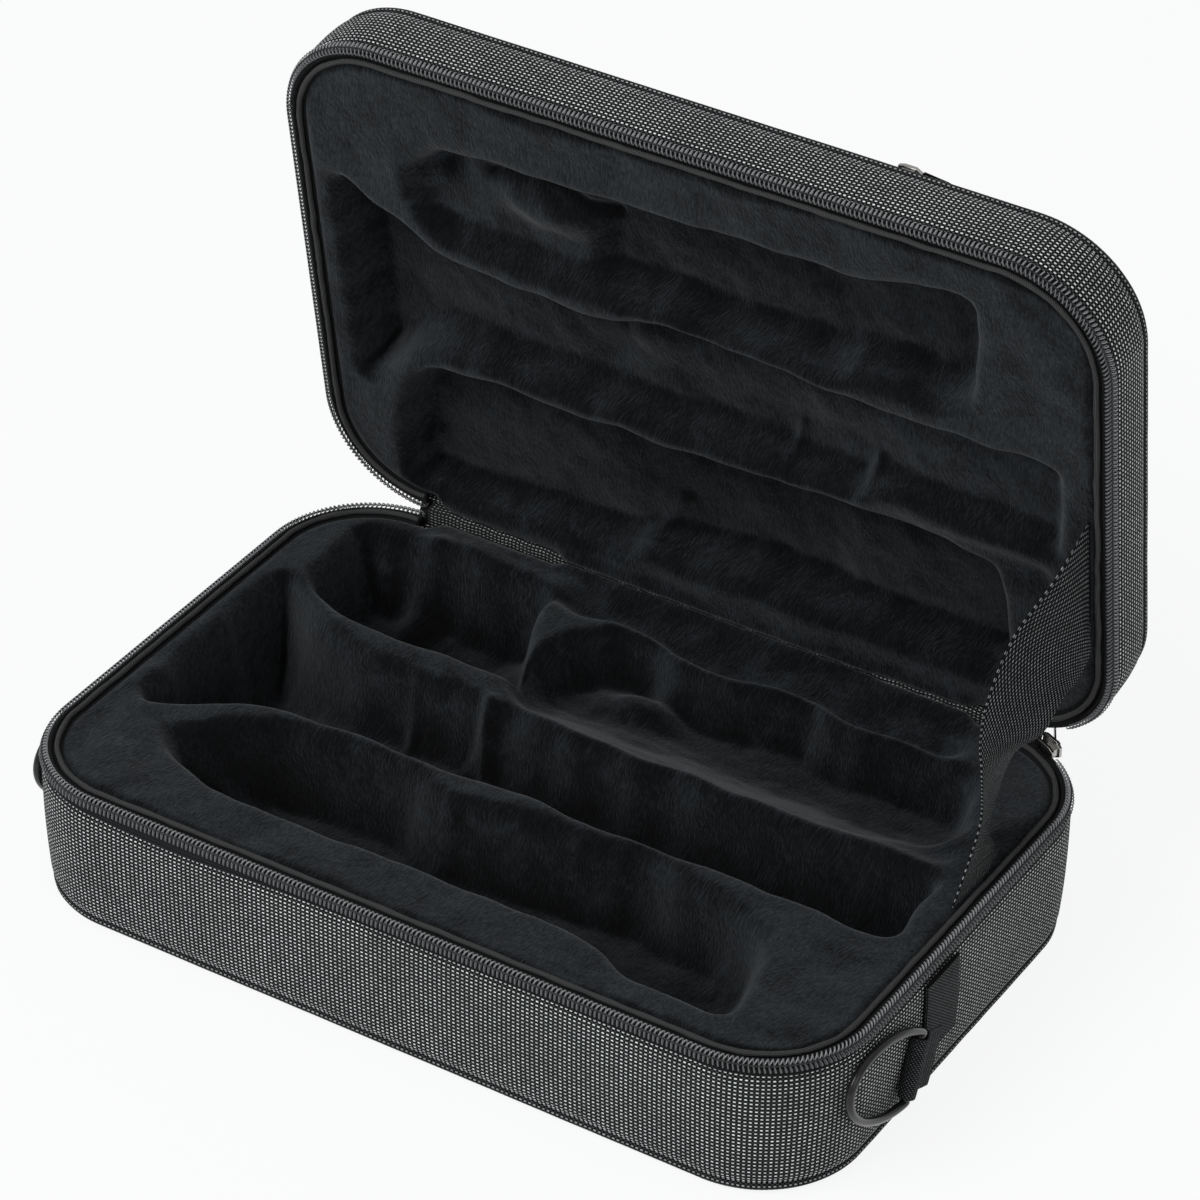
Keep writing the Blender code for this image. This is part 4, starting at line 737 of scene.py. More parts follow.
# recesses: outline points, wall width, and rows of (x, depth at that x); slope rows are (y, share of the
# depth)
trays = dict(
    base=dict(
        recesses=[
            dict(outline=[(-141, -63), (-128, -71), (-112, -77), (-95, -80), (-40, -79), (0, -78.5),
                          (48, -78), (66, -80), (79, -85), (90, -89), (108, -91), (124, -90.5), (130.5, -87),
                          (130, -76), (126, -62), (122, -50), (112, -42), (100, -36), (88, -34), (76, -32.5),
                          (64, -28.5), (54, -28), (44, -31.5), (20, -33.5), (0, -34.5), (-14, -37),
                          (-24, -39), (-34, -36), (-46, -31.5), (-62, -30.5), (-82, -31.5), (-98, -34),
                          (-110, -39), (-120, -44), (-130, -52)],
                 wall=8.5, depth=[(-141, 1), (-134, 9), (-120, 23), (-104, 33), (-92, 36), (70, 36),
                                  (104, 34), (115, 30), (120, 21), (131, 20)]),
            dict(outline=[(-161, 46), (-159, 49.5), (-155, 48.5), (-146, 41), (-131, 30.5), (-118, 25),
                          (-100, 22.5), (-80, 21.5), (-60, 21.5), (-49, 21.2), (-44, 17.2), (-38, 19.8),
                          (-20, 19), (10, 19.8), (60, 19), (100, 20), (150, 19.6), (155.5, 18), (157, 14),
                          (157, -14), (155.5, -18), (150, -19.4), (100, -19), (50, -19), (0, -20),
                          (-45, -20.6), (-78, -20.8), (-100, -22.5), (-118, -26), (-131, -32), (-146, -41.5),
                          (-156, -48), (-160, -46), (-161, -40), (-161.5, 0)],
                 wall=11.0, depth=[(-162, 48), (-146, 48), (-131, 42), (-118, 36.5), (-104, 33), (-48, 32),
                                   (-42, 33.5), (40, 34), (157, 32)]),
            dict(outline=[(-151, 62), (-152, 80), (-152, 92), (-148, 96), (-140, 96), (-133, 98),
                          (-110, 98.5), (-88, 97.5), (-70, 97.5), (-62, 95), (-62, 87), (-60, 77), (-54, 66),
                          (-48, 55), (-45, 46), (-49, 41.5), (-70, 40.5), (-100, 40.5), (-122, 42),
                          (-138, 47), (-148, 54)],
                 wall=9.5, depth=[(-152, 33), (-130, 36), (-80, 37), (-62, 33), (-45, 24)]),
            dict(outline=[(-46, 42), (-45, 58), (-42, 72), (-35, 84), (-24, 90), (-8, 89), (3, 84.5),
                          (14, 84), (38, 86), (50, 89), (62, 89.5), (70, 86), (80, 84), (110, 84.5),
                          (130, 83), (141, 76), (147, 64), (149, 52), (146, 42), (134, 33), (110, 27),
                          (60, 24), (0, 23.5), (-28, 26), (-41, 33)],
                 wall=8.0, depth=[(-46, 20), (-34, 25), (-10, 25), (110, 25), (135, 22), (150, 15)],
                 slope=[(20, 0.08), (26, 0.16), (34, 0.34), (46, 0.68), (57, 0.94), (64, 1.0), (90, 1.0)]),
            dict(outline=[(36, 41), (52, 43.5), (90, 43), (140, 43), (156, 40), (156, 30), (140, 26),
                          (80, 25), (46, 27), (36, 33)],
                 wall=5.0, depth=[(36, 2.6), (156, 2.6)]),
            dict(outline=[(-64, 96), (-60, 101), (-56, 109), (-40, 111), (0, 111), (60, 111), (110, 111),
                          (124, 108), (128, 100), (124, 90.5), (110, 89.5), (84, 89), (68, 91.5), (50, 93.5),
                          (30, 91), (14, 89.5), (0, 91), (-12, 94.5), (-30, 95), (-46, 92)],
                 wall=3.2, depth=[(-64, 3), (-50, 7), (-20, 8.5), (90, 8.5), (115, 7), (128, 3)],
                 slope=[(88, 1.0), (93, 1.0), (104, 0.5), (111, 0.06)])],
        bumps=[(-121, 92, 8, 9, 0, 9), (-4, 73, 15, 9, 4, 9.5), (0, 58, 20, 9, 0, 2.5),
               (-136, 56, 9, 7, 20, -6), (-126, -58, 13, 6, 35, 4.5), (106, -46, 12, 7, -30, 4),
               (-112, 74, 12, 8, 30, -4), (-66, 74, 8, 12, 15, 3), (-70, 101, 26, 5, 0, 0.8),
               (20, 92, 60, 4, 0, 0.7), (-168, 10, 8, 60, 0, -0.7), (150, -50, 14, 30, 0, -0.6),
               (60, -24, 60, 4, 0, 0.8), (-60, -26, 50, 4, 0, 1.1), (30, 22, 90, 2.5, 0, 0.9),
               (-88, 33, 30, 5, 0, 1.2)],
        creases=[((-157, 47.5), (-150, 42), 2.8, -0.8), ((-152, 94), (-146, 88), 2.0, 3.0),
                 ((-79, 23), (-75, 12), 1.7, 4.5), ((-45, 22), (-38, 6), 2.0, 6.0),
                 ((-30, 88), (-22, 66), 3.0, 1.5), ((-165, -62), (-140, -58), 2.4, -0.7),
                 ((-168, -50), (-160, -90), 3.0, -0.6)]),
    lid=dict(
        recesses=[
            dict(outline=[(-128, -62), (-126, -44), (-118, -34), (-100, -31.5), (-70, -31), (-52, -31),
                          (-44, -31), (0, -29.5), (55, -29.5), (70, -33), (84, -34.5), (100, -33),
                          (114, -36), (120, -43), (122, -60), (122, -84), (117, -88.5), (100, -88),
                          (88, -84), (70, -80), (0, -79.5), (-60, -79), (-96, -78), (-114, -73)],
                 wall=7.0, depth=[(-128, 7), (-112, 11), (-70, 11.5), (-50, 12), (-41, 20), (40, 21),
                                  (110, 20), (122, 19)]),
            dict(outline=[(-161, 47), (-159, 52.5), (-154, 52), (-146, 46), (-136, 38), (-124, 31),
                          (-106, 28), (-60, 27), (-20, 27), (20, 27), (60, 27.5), (70, 26), (76, 22),
                          (84, 21), (110, 22), (150, 21.5), (156, 19), (157, 0), (156, -17), (150, -20),
                          (90, -20), (40, -23), (0, -24), (-20, -23), (-34, -19), (-60, -18.5), (-98, -19),
                          (-118, -22.5), (-132, -29), (-146, -38), (-156, -45), (-160, -43), (-161.5, 0)],
                 wall=7.5, depth=[(-162, 23), (-140, 23), (-124, 21.5), (-100, 18.5), (-44, 17.5), (-34, 16),
                                  (-8, 17), (40, 16.5), (66, 15.5), (80, 12.5), (157, 12)]),
            dict(outline=[(-142, 96), (-139, 104), (-130, 105), (-90, 105), (-45, 104), (-32, 99.5),
                          (-10, 97), (60, 96), (122, 96), (131, 91), (133, 76), (132, 56), (128, 42),
                          (116, 37.5), (60, 36), (0, 35.5), (-60, 37), (-110, 38.5), (-128, 42), (-138, 54),
                          (-143, 72)],
                 wall=6.5, depth=[(-143, 17), (-40, 18.5), (-24, 21), (-8, 23.2), (46, 23.2), (58, 20.5),
                                  (133, 20)]),
            dict(outline=[(28, 35), (40, 42), (58, 44.5), (100, 43.5), (146, 44), (152, 36), (146, 29),
                          (100, 28.5), (60, 30.5), (36, 31)],
                 wall=4.0, depth=[(28, 2.8), (152, 2.8)], slope=[(28, 1.0), (33, 1.0), (44, 0.2)])],
        bumps=[(-68, -56, 17, 8, 4, 6.5), (-110, -66, 8, 7, 0, -3.5), (93, -80, 3, 5, 0, -2.5),
               (119, -84, 3, 5, 0, -2.5), (-28, -8, 14, 9, 0, 2.6), (62, -4, 22, 10, 0, 1.8),
               (96, 62, 26, 12, 0, 1.0), (-88, 66, 30, 14, 0, 1.4), (0, 31.5, 70, 3, 0, 0.9),
               (-60, -25, 60, 3.5, 0, 1.0), (20, -27, 70, 3, 0, 0.6), (150, -60, 14, 24, 0, -0.6),
               (-166, 20, 7, 60, 0, -0.6), (40, -60, 60, 8, 0, -1.0)],
        creases=[((-145, 100), (-136, 86), 2.4, 2.6), ((-154, 50), (-147, 42), 2.0, 3.4),
                 ((-159, 51), (-155, 44), 2.6, -0.8), ((70, 29), (74, 14), 2.0, 4.0),
                 ((-40, -6), (-26, -24), 2.4, -2.6), ((-92, -68), (-62, -72), 1.6, -4.0),
                 ((-62, -72), (-40, -60), 1.6, -3.4), ((-31, 98), (-22, 80), 2.0, 2.4),
                 ((36, 26), (38, 14), 1.8, 2.4)]))


def insideDistance(x, y, outline):
    # distance to the closed line where inside it, zero outside; inside by counting crossed edges
    a = smoothLine(outline, 5, closed=True)
    b = np.roll(a, -1, 0)
    near = np.full(x.shape, 1e9)
    inside = np.zeros(x.shape, bool)
    for (ax, ay), (bx, by) in zip(a, b):
        dx, dy = bx - ax, by - ay
        t = np.clip(((x - ax) * dx + (y - ay) * dy) / (dx * dx + dy * dy + 1e-12), 0, 1)
        near = np.minimum(near, (x - ax - t * dx) ** 2 + (y - ay - t * dy) ** 2)
        if dy:
            inside ^= ((ay > y) != (by > y)) & (x < ax + (y - ay) * dx / dy)
    return np.where(inside, np.sqrt(near), 0.0)


def softened(grid, width):
    # Gaussian blur by the transform, width in cells
    fx, fy = np.fft.fftfreq(grid.shape[0])[:, None], np.fft.rfftfreq(grid.shape[1])[None, :]
    return np.fft.irfft2(np.fft.rfft2(grid) * np.exp(-2 * (np.pi * width) ** 2 * (fx ** 2 + fy ** 2)),
                         grid.shape)


def trayDepth(half):
    # depth = floor(x)*slope(y)*sqrt(1 - (1-d/w)^2), the deepest recess winning, then bumps, creases and swell
    x, y = np.meshgrid(np.arange(-tray["gridX"], 185.0), np.arange(-tray["gridY"], 128.0), indexing="ij")
    depth = np.zeros(x.shape)
    draw = np.random.default_rng(tray["seed"] + (half == "lid"))
    wander = [softened(draw.standard_normal(x.shape), 6.0) for _ in range(2)]
    wander = [tray["wander"] * w / w.std() * 0.6 for w in wander]
    for recess in trays[half]["recesses"]:
        box = np.array(recess["outline"], float)
        i = slice(*(np.array((box[:, 0].min() - 4, box[:, 0].max() + 5)) + tray["gridX"]).astype(int))
        j = slice(*(np.array((box[:, 1].min() - 4, box[:, 1].max() + 5)) + tray["gridY"]).astype(int))
        xx, yy = x[i, j], y[i, j]
        moved = insideDistance(xx + wander[0][i, j], yy + wander[1][i, j], recess["outline"])
        t = np.clip(moved / recess["wall"], 0, 1)
        floor = np.interp(xx, *np.array(recess["depth"], float).T)
        if "slope" in recess:
            floor = floor * np.interp(yy, *np.array(recess["slope"], float).T)
        depth[i, j] = np.maximum(depth[i, j], floor * np.sqrt(1 - (1 - t) ** 2))
    for bx, by, rx, ry, turn, rise in trays[half]["bumps"]:
        c, s = math.cos(math.radians(turn)), math.sin(math.radians(turn))
        u, v = ((x - bx) * c + (y - by) * s) / rx, ((y - by) * c - (x - bx) * s) / ry
        depth -= rise * np.exp(-(u * u + v * v) ** 1.3)
    for (ax, ay), (bx, by), width, rise in trays[half]["creases"]:
        dx, dy = bx - ax, by - ay
        t = np.clip(((x - ax) * dx + (y - ay) * dy) / (dx * dx + dy * dy), 0, 1)
        away = (x - ax - t * dx) ** 2 + (y - ay - t * dy) ** 2
        depth -= rise * np.exp(-away / width ** 2)
    for width, size in ((9.0, tray["swell"]), (2.6, tray["crumple"])):
        rough = softened(draw.standard_normal(x.shape), width)
        depth += size * rough / rough.std()
    near, wide = softened(depth, tray["blur"]), softened(depth, tray["crest"])
    share = np.exp(-(np.clip(wide, 0, None) / tray["crestDepth"]) ** 2)
    return near * (1 - share) + wide * share


def widened(grid, reach):
    # the deepest value within reach cells all round
    most = grid.copy()
    for i in range(-reach, reach + 1):
        for j in range(-reach, reach + 1):
            if i * i + j * j <= reach * reach:
                most = np.maximum(most, np.roll(grid, (i, j), axis=(0, 1)))
    return most


def readGrid(grid, x, y):
    # straight-line reading of the 1 mm grid between its points
    px = np.clip(x + tray["gridX"], 0, grid.shape[0] - 1.001)
    py = np.clip(y + tray["gridY"], 0, grid.shape[1] - 1.001)
    i, j = px.astype(int), py.astype(int)
    fx, fy = px - i, py - j
    return ((1 - fx) * (1 - fy) * grid[i, j] + fx * (1 - fy) * grid[i + 1, j]
            + (1 - fx) * fy * grid[i, j + 1] + fx * fy * grid[i + 1, j + 1])


def covered(x):
    # how far the plush comes up over the hinge cloth, along the hinge
    return np.interp(x, *np.array(tray["cover"]).T)


def trayPlan(cellsX, cellsY, edge, ledge):
    # a grid over the rounded rectangle: columns past the ledge's end are drawn in to the corners' curve
    hx, hy = halfX * 1000 - edge, halfY * 1000 - edge
    radius, still = cornerR * 1000 - edge, tray["ledgeEnd"]
    x = np.linspace(-hx, hx, cellsX + 1)[:, None] * np.ones((1, cellsY + 1))
    t = np.linspace(0, 1, cellsY + 1)[None, :]
    back = ledge * np.clip((tray["ledgeEnd"] - np.abs(x)) / 4.0, 0, 1)
    back = back + (tray["coverLedge"] * covered(x) if ledge else 0.0)
    y = -hy + t * (2 * hy + back)
    past = np.clip(np.abs(y) - cornerY * 1000, 0, radius)
    limit = cornerX * 1000 + np.sqrt(radius ** 2 - past ** 2)
    beyond = (np.abs(x) - still) / (hx - still)
    x = np.where(beyond > 0, np.sign(x) * (still + beyond * (limit - still)), x)
    return x, y


def gridBorder(rows, columns):
    # the indices round a grid's edge, in order
    i, j = np.arange(rows), np.arange(columns)
    return np.concatenate([j, i[1:] * columns + columns - 1, (rows - 1) * columns + j[-2::-1],
                           i[-2:0:-1] * columns])


def skinNormals(x, y, depth):
    # unit normals out of the foam, made upright towards the border
    down = np.stack([x, y, -depth], axis=2)
    normal = np.cross(np.gradient(down, axis=0), np.gradient(down, axis=1))
    normal *= np.sign(normal[:, :, 2:] + 1e-12) / np.linalg.norm(normal, axis=2)[:, :, None]
    normal[:, :, 2] += 0.25 * np.exp(-depth / 5.0)
    for edge in (normal[0], normal[-1], normal[:, 0], normal[:, -1]):
        edge[:] = (0, 0, 1)
    return normal / np.linalg.norm(normal, axis=2)[:, :, None]


def makeTray(half):
    # the plush skin: a fine upper face, and an under face on every third line, square to it by the thickness
    part = halves[half]
    field = trayDepth(half)
    x, y = trayPlan(tray["cellsX"], tray["cellsY"], tray["edge"], tray["ledge"])
    depth = readGrid(field, x, y)
    hx, hy = halfX * 1000 - tray["edge"], halfY * 1000 - tray["edge"]
    corner = np.hypot(np.clip(np.abs(x) - cornerX * 1000, 0, None),
                      np.clip(np.abs(y) - cornerY * 1000, 0, None))
    toEdge = np.minimum(np.minimum(hx - np.abs(x), y + hy), y[:, -1:] - y)
    toEdge = np.where((corner > 0) & (np.abs(x) > cornerX * 1000) & (np.abs(y) > cornerY * 1000),
                      cornerR * 1000 - tray["edge"] - corner, toEdge)
    nearEdge = np.exp(-(np.clip(toEdge, 0, None) / tray["rollReach"]) ** 2)
    depth = depth * (1 - nearEdge) + tray["roll"] * nearEdge ** 2
    lift = covered(x) * np.exp(-(np.clip(y[:, -1:] - y, 0, None) / (1.6 * tray["rollReach"])) ** 2)
    depth = depth * (1 - lift) + tray["coverRise"] * lift
    step = tray["coarse"]
    xc, yc = x[::step, ::step], y[::step, ::step]
    normal = skinNormals(xc, yc, depth[::step, ::step])
    upper = np.stack([x, y, tray["drop"] + depth], axis=2)
    flip = np.array((1.0, 1.0, -1.0))
    under = np.stack([xc, yc, tray["drop"] + depth[::step, ::step]], axis=2) - normal * flip * tray["skin"]
    rows, columns = x.shape
    smallRows, smallColumns = xc.shape
    verts = np.vstack([part["place"](p.reshape(-1, 3) / 1000) for p in (upper, under)])
    start = rows * columns
    fine, small = gridBorder(rows, columns), start + gridBorder(smallRows, smallColumns)
    faces = gridQuads(rows, columns).tolist()
    faces += gridQuads(smallRows, smallColumns, start=start)[:, ::-1].tolist()
    ring = np.concatenate([fine, fine[:1]])
    for k in range(len(small)):
        faces.append([*ring[k * step:k * step + step + 1].tolist(), int(small[(k + 1) % len(small)]),
                      int(small[k])])
    skin = finishMesh(half + "PlushTray", verts, faces, plush, part["body"], smooth=180)
    # painted shade: a 0 to 1 darkening for the plush, rising from 9 mm to 29 mm deep in the recesses; the under
    # face is given the full darkening
    paintedRecessShade = np.clip((readGrid(softened(field, 3.0), x, y) - 9.0) / 20.0, 0, 1).ravel()
    layer = skin.data.attributes.new("paintedRecessShade", "FLOAT", "POINT")
    layer.data.foreach_set("value",
                           np.concatenate([paintedRecessShade, np.ones(smallRows * smallColumns)]).astype(np.float32))
    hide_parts(half + "_plush_liner")

    # the foam keeps clear of the skin: its recesses are wider all round and deeper by the skin's thickness
    bed = np.stack([xc, yc, tray["drop"] + readGrid(widened(field, tray["foamReach"]), xc, yc)
                    + tray["skin"] + tray["under"]], axis=2)
    wideX, wideY = trayPlan(smallRows - 1, smallColumns - 1, tray["foamEdge"], 0.0)
    footEdge = (part["taper"] + shell["inset"] + shell["piping"] + 3 * case["gap"]) * 1000
    footX, footY = trayPlan(smallRows - 1, smallColumns - 1, footEdge, 0.0)
    border = gridBorder(smallRows, smallColumns)
    flatBed = bed.reshape(-1, 3)
    flatBed[border, 0], flatBed[border, 1] = wideX.ravel()[border], wideY.ravel()[border]
    flatBed[border, 2] = tray["drop"] + tray["skin"] + case["gap"] * 1000 + tray["roll"] + tray["foamDrop"]
    low = (part["height"] - shell["panel"] - case["gap"]) * 1000
    foot = np.column_stack([footX.ravel()[border], footY.ravel()[border], np.full(len(border), low)])
    verts = part["place"](np.vstack([flatBed, foot]) / 1000)
    count, size = len(flatBed), len(border)
    faces = gridQuads(smallRows, smallColumns).tolist()
    following = [(k + 1) % size for k in range(size)]
    faces += [[int(border[k]), int(border[n]), count + n, count + k] for k, n in enumerate(following)]
    faces.append(list(range(count, count + size)))
    core = finishMesh(half + "FoamCore", verts, faces, paleFoam, part["body"], smooth=60)
    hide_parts(half + "_foam_core")


for halfName in halves:
    makeTray(halfName)
print("trays ready")


# Hinge cloth: one strip of the woven cloth up the base's spine, round the hinge line and along the lid's
hingeCloth = dict(end=cornerX - 0.0012, thickness=0.0012, outside=case["axisInset"] - 0.0002,
                  reach=0.0067, bendRadius=0.0016, wander=0.00030, step=0.004)


def makeHingeCloth():
    # section: straight up the base, an arc of the opening angle, straight along the lid; moved by waves
    inside = hingeCloth["outside"] - hingeCloth["thickness"]
    low = case["baseHeight"] - rim["tapeLow"]
    turn, radius = math.tan(opened / 2), hingeCloth["bendRadius"]
    cut = radius * turn

    def line(offset):
        # the bend's centre lies outside the case, so the outer line has the smaller radius
        r = radius - (offset - inside) if offset > inside else radius
        y, corner = axisY + offset, axisZ - offset * turn
        a = np.linspace(0, opened, 9)
        start = corner - r * turn
        arc = np.column_stack([y + r * (1 - np.cos(a)), start + r * np.sin(a)])
        rise = np.linspace(low, start, 5)[:-1]
        along = np.linspace(cut, hingeCloth["reach"] + offset * turn, 5)[1:]
        lidSide = np.column_stack([y + along * math.sin(opened), corner + along * math.cos(opened)])
        return np.vstack([np.column_stack([np.full(4, y), rise]), arc, lidSide])

    outer, inner = line(hingeCloth["outside"]), line(inside)
    section = np.vstack([inner, outer[::-1]])
    x = evenSteps(-hingeCloth["end"], hingeCloth["end"], hingeCloth["step"])
    bulge = hingeCloth["wander"] * (np.sin(x * 61.0 + 0.4) + 0.6 * np.sin(x * 137.0 + 2.1)) / 1.6
    share = np.sin(np.pi * np.linspace(0, 1, len(inner)))
    share = np.concatenate([share, share[::-1]])
    rings = np.empty((len(x), len(section), 3))
    rings[:, :, 0] = x[:, None]
    rings[:, :, 1] = section[None, :, 0] + bulge[:, None] * share - 0.0001
    rings[:, :, 2] = section[None, :, 1] - 0.6 * bulge[:, None] * share
    strip = bandMesh("hingeCloth", rings, shadedCloth, None, closed=False, along=x, smooth=60)
    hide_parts("hinge_fabric")
    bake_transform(strip)


gusset = dict(right=(0.1336, 0.1484), left=(-0.1400, -0.1336), inset=0.0006, thickness=0.0008, bulge=0.0011,
              steps=9, sewn=0.0066)


def makeGusset(name, first, last):
    # past the strip's ends the two rims are joined by a web: straight from rim to rim, bulged by sin(pi*t)
    x = evenSteps(first, last, 0.0012)
    drop = cornerR - np.sqrt(cornerR ** 2 - np.clip(np.abs(x) - cornerX, 0, None) ** 2)
    y = axisY - gusset["inset"] - drop
    low = placeBase(np.column_stack([x, y, 0 * x + gusset["sewn"]]))
    high = placeLid(np.column_stack([x, y, 0 * x + gusset["sewn"]]))
    t = np.linspace(0, 1, gusset["steps"])
    out = np.array((0.0, math.cos(opened / 2), math.sin(opened / 2) * 0.3))
    web = low[:, None] * (1 - t)[None, :, None] + high[:, None] * t[None, :, None]
    web = web + (gusset["bulge"] * np.sin(np.pi * t))[None, :, None] * out
    behind = web + gusset["thickness"] * np.array((0.0, 0.9, -0.1))
    rings = np.concatenate([web, behind[:, ::-1]], axis=1)
    piece = bandMesh(name, rings, tapeCloth, None, closed=False, along=x, smooth=60)
    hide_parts("hinge_fabric")
    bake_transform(piece)


makeHingeCloth()
makeGusset("rightGusset", *gusset["right"])
makeGusset("leftGusset", *gusset["left"])
print("hinge cloth ready")


# Stay strap: slack webbing from the lid's right rim to the base's; its two edges are listed points
strap = dict(inner=halfX - 0.0093, drop=0.0012, thickness=0.0014, across=18, steps=12,
             frontEdge=[(0.1649, 0.0832, 0.1631), (0.1559, 0.0698, 0.1411), (0.1541, 0.0562, 0.1210),
                        (0.1580, 0.0439, 0.1105), (0.1649, 0.0331, 0.1051), (0.1660, 0.0331, 0.0846),
                        (0.1688, 0.0202, 0.0749)],
             backEdge=[(0.1721, 0.1030, 0.1210), (0.1724, 0.0929, 0.1145), (0.1721, 0.0821, 0.1120),
                       (0.1706, 0.0698, 0.1026), (0.1642, 0.0580, 0.0965), (0.1598, 0.0529, 0.0666),
                       (0.1660, 0.0450, 0.0641)],
             lidFront=-0.005, lidBack=0.051, baseFront=0.005, baseBack=0.033, crimp=0.0004)


def makeStrap():
    # a ribbon ruled between two curves, thinner at its selvedges: thick(w) = t*(1 - 0.45*|2w-1|^10)
    inner, drop = strap["inner"], strap["drop"]
    front = [placeLid((inner, strap["lidFront"], drop)), *strap["frontEdge"],
             (inner, strap["baseFront"], case["baseHeight"] - drop)]
    back = [placeLid((inner, strap["lidBack"], drop)), *strap["backEdge"],
            (inner, strap["baseBack"], case["baseHeight"] - drop)]
    front, back = smoothLine(front, strap["steps"]), smoothLine(back, strap["steps"])
    middle = (front + back) / 2
    ahead = np.gradient(middle, axis=0)
    face = np.cross(ahead, back - front)
    face /= np.linalg.norm(face, axis=1)[:, None]
    lidNormal = np.array((0.0, math.sin(opened), math.cos(opened)))
    ease = np.clip(1 - np.arange(len(face)) / strap["steps"], 0, 1)[:, None]
    face = face * (1 - ease) + lidNormal * np.sign(face[1] @ lidNormal) * ease
    face /= np.linalg.norm(face, axis=1)[:, None]
    w = (1 - np.cos(np.pi * np.linspace(0, 1, strap["across"]))) / 2
    thick = strap["thickness"] / 2 * (1 - 0.45 * np.abs(2 * w - 1) ** 10)
    along = arcLength(middle)
    low = np.clip((along / along[-1] - 0.62) / 0.2, 0, 1) * np.clip((1 - along / along[-1]) / 0.08, 0, 1)
    crimp = strap["crimp"] * low * np.sin(2 * np.pi * along / 0.0042)
    spine = front[:, None] * (1 - w)[None, :, None] + back[:, None] * w[None, :, None]
    spine = spine + (crimp[:, None] * np.sin(np.pi * w)[None, :])[:, :, None] * face[:, None]
    upper = spine + thick[None, :, None] * face[:, None]
    lower = spine - thick[None, :, None] * face[:, None]
    rings = np.concatenate([upper, lower[:, ::-1]], axis=1)
    ribbon = bandMesh("stayStrap", rings, webbingCloth, None, closed=False, along=along, smooth=60)
    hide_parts("stay_strap")
    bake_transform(ribbon)


makeStrap()
print("strap ready")


# D-rings and their webbing, the right one and its twin on the left end
ringPart = dict(width=0.037, depth=0.050, centreShare=0.35, wire=0.0036, y=-0.0446, z=0.0272, tilt=-22.0,
                swing=-3.0, tab=0.0013, tabWidth=0.0240, shoulder=0.0015, meet=0.0110, tail=0.0200,
                anchorY=-0.0210, anchorLow=0.0235, skew=0.0002)


def ringPlace(side, swing=True):
    # where the ring's bar lies on the end wall, and how it is tilted
    barX = halfX + case["gap"] + ringPart["tab"] + case["gap"] + ringPart["wire"] / 2
    turn = Matrix.Rotation(math.radians(ringPart["tilt"]), 4, "X")
    if swing:
        turn = turn @ Matrix.Rotation(side * math.radians(ringPart["swing"]), 4, "Z")
    return np.array(Matrix.Translation((side * barX, ringPart["y"], ringPart["z"])) @ turn)


def carried(points, place):
    p = np.asarray(points, float)
    return p @ place[:3, :3].T + place[:3, 3]


def makeRing(name, side):
    # a straight bar, and an oval bow: y = -centre - reach*cos(a), z = half*sin(a)
    half = (ringPart["width"] - ringPart["wire"]) / 2
    reach = ringPart["depth"] - ringPart["wire"]
    centre = reach * ringPart["centreShare"]
    semi = reach - centre
    limit = math.acos(-centre / semi)
    a = np.linspace(limit, -limit, 17)
    bow = np.column_stack([0 * a, -centre - semi * np.cos(a), half * np.sin(a)])
    corner = half * math.sin(limit) * 0.86
    path = smoothLine(np.vstack([bow, (0, 0, -corner), (0, 0, 0), (0, 0, corner)]), 6, closed=True)
    rings = tubeRings(path, ringPart["wire"] / 2, 18, (1.0, 0.0, 0.0), closed=True)
    ring = bandMesh(name, carried(rings, ringPlace(side)), blackEnamel,
                    "right_ring" if side > 0 else "left_ring", smooth=180)
    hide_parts("right_d_ring" if side > 0 else "left_d_ring")


def strapBand(line, half, thickness, columns=14):
    # a strip of webbing: the line of (x, y) points carried from -half to +half along z, with rounded edges
    line = np.asarray(line, float)
    ahead = np.gradient(line, axis=0)
    ahead /= np.linalg.norm(ahead, axis=1)[:, None]
    out = np.column_stack([ahead[:, 1], -ahead[:, 0]])
    w = (1 - np.cos(np.pi * np.linspace(0, 1, columns))) / 2
    thick = thickness / 2 * (1 - 0.35 * np.abs(2 * w - 1) ** 8)
    z = np.concatenate([w, w[::-1]]) * 2 * half - half
    lift = np.concatenate([thick, -thick[::-1]])
    flat = line[:, None] + lift[None, :, None] * out[:, None]
    return np.concatenate([flat, np.broadcast_to(z[None, :, None], flat.shape[:2] + (1,))], axis=2)


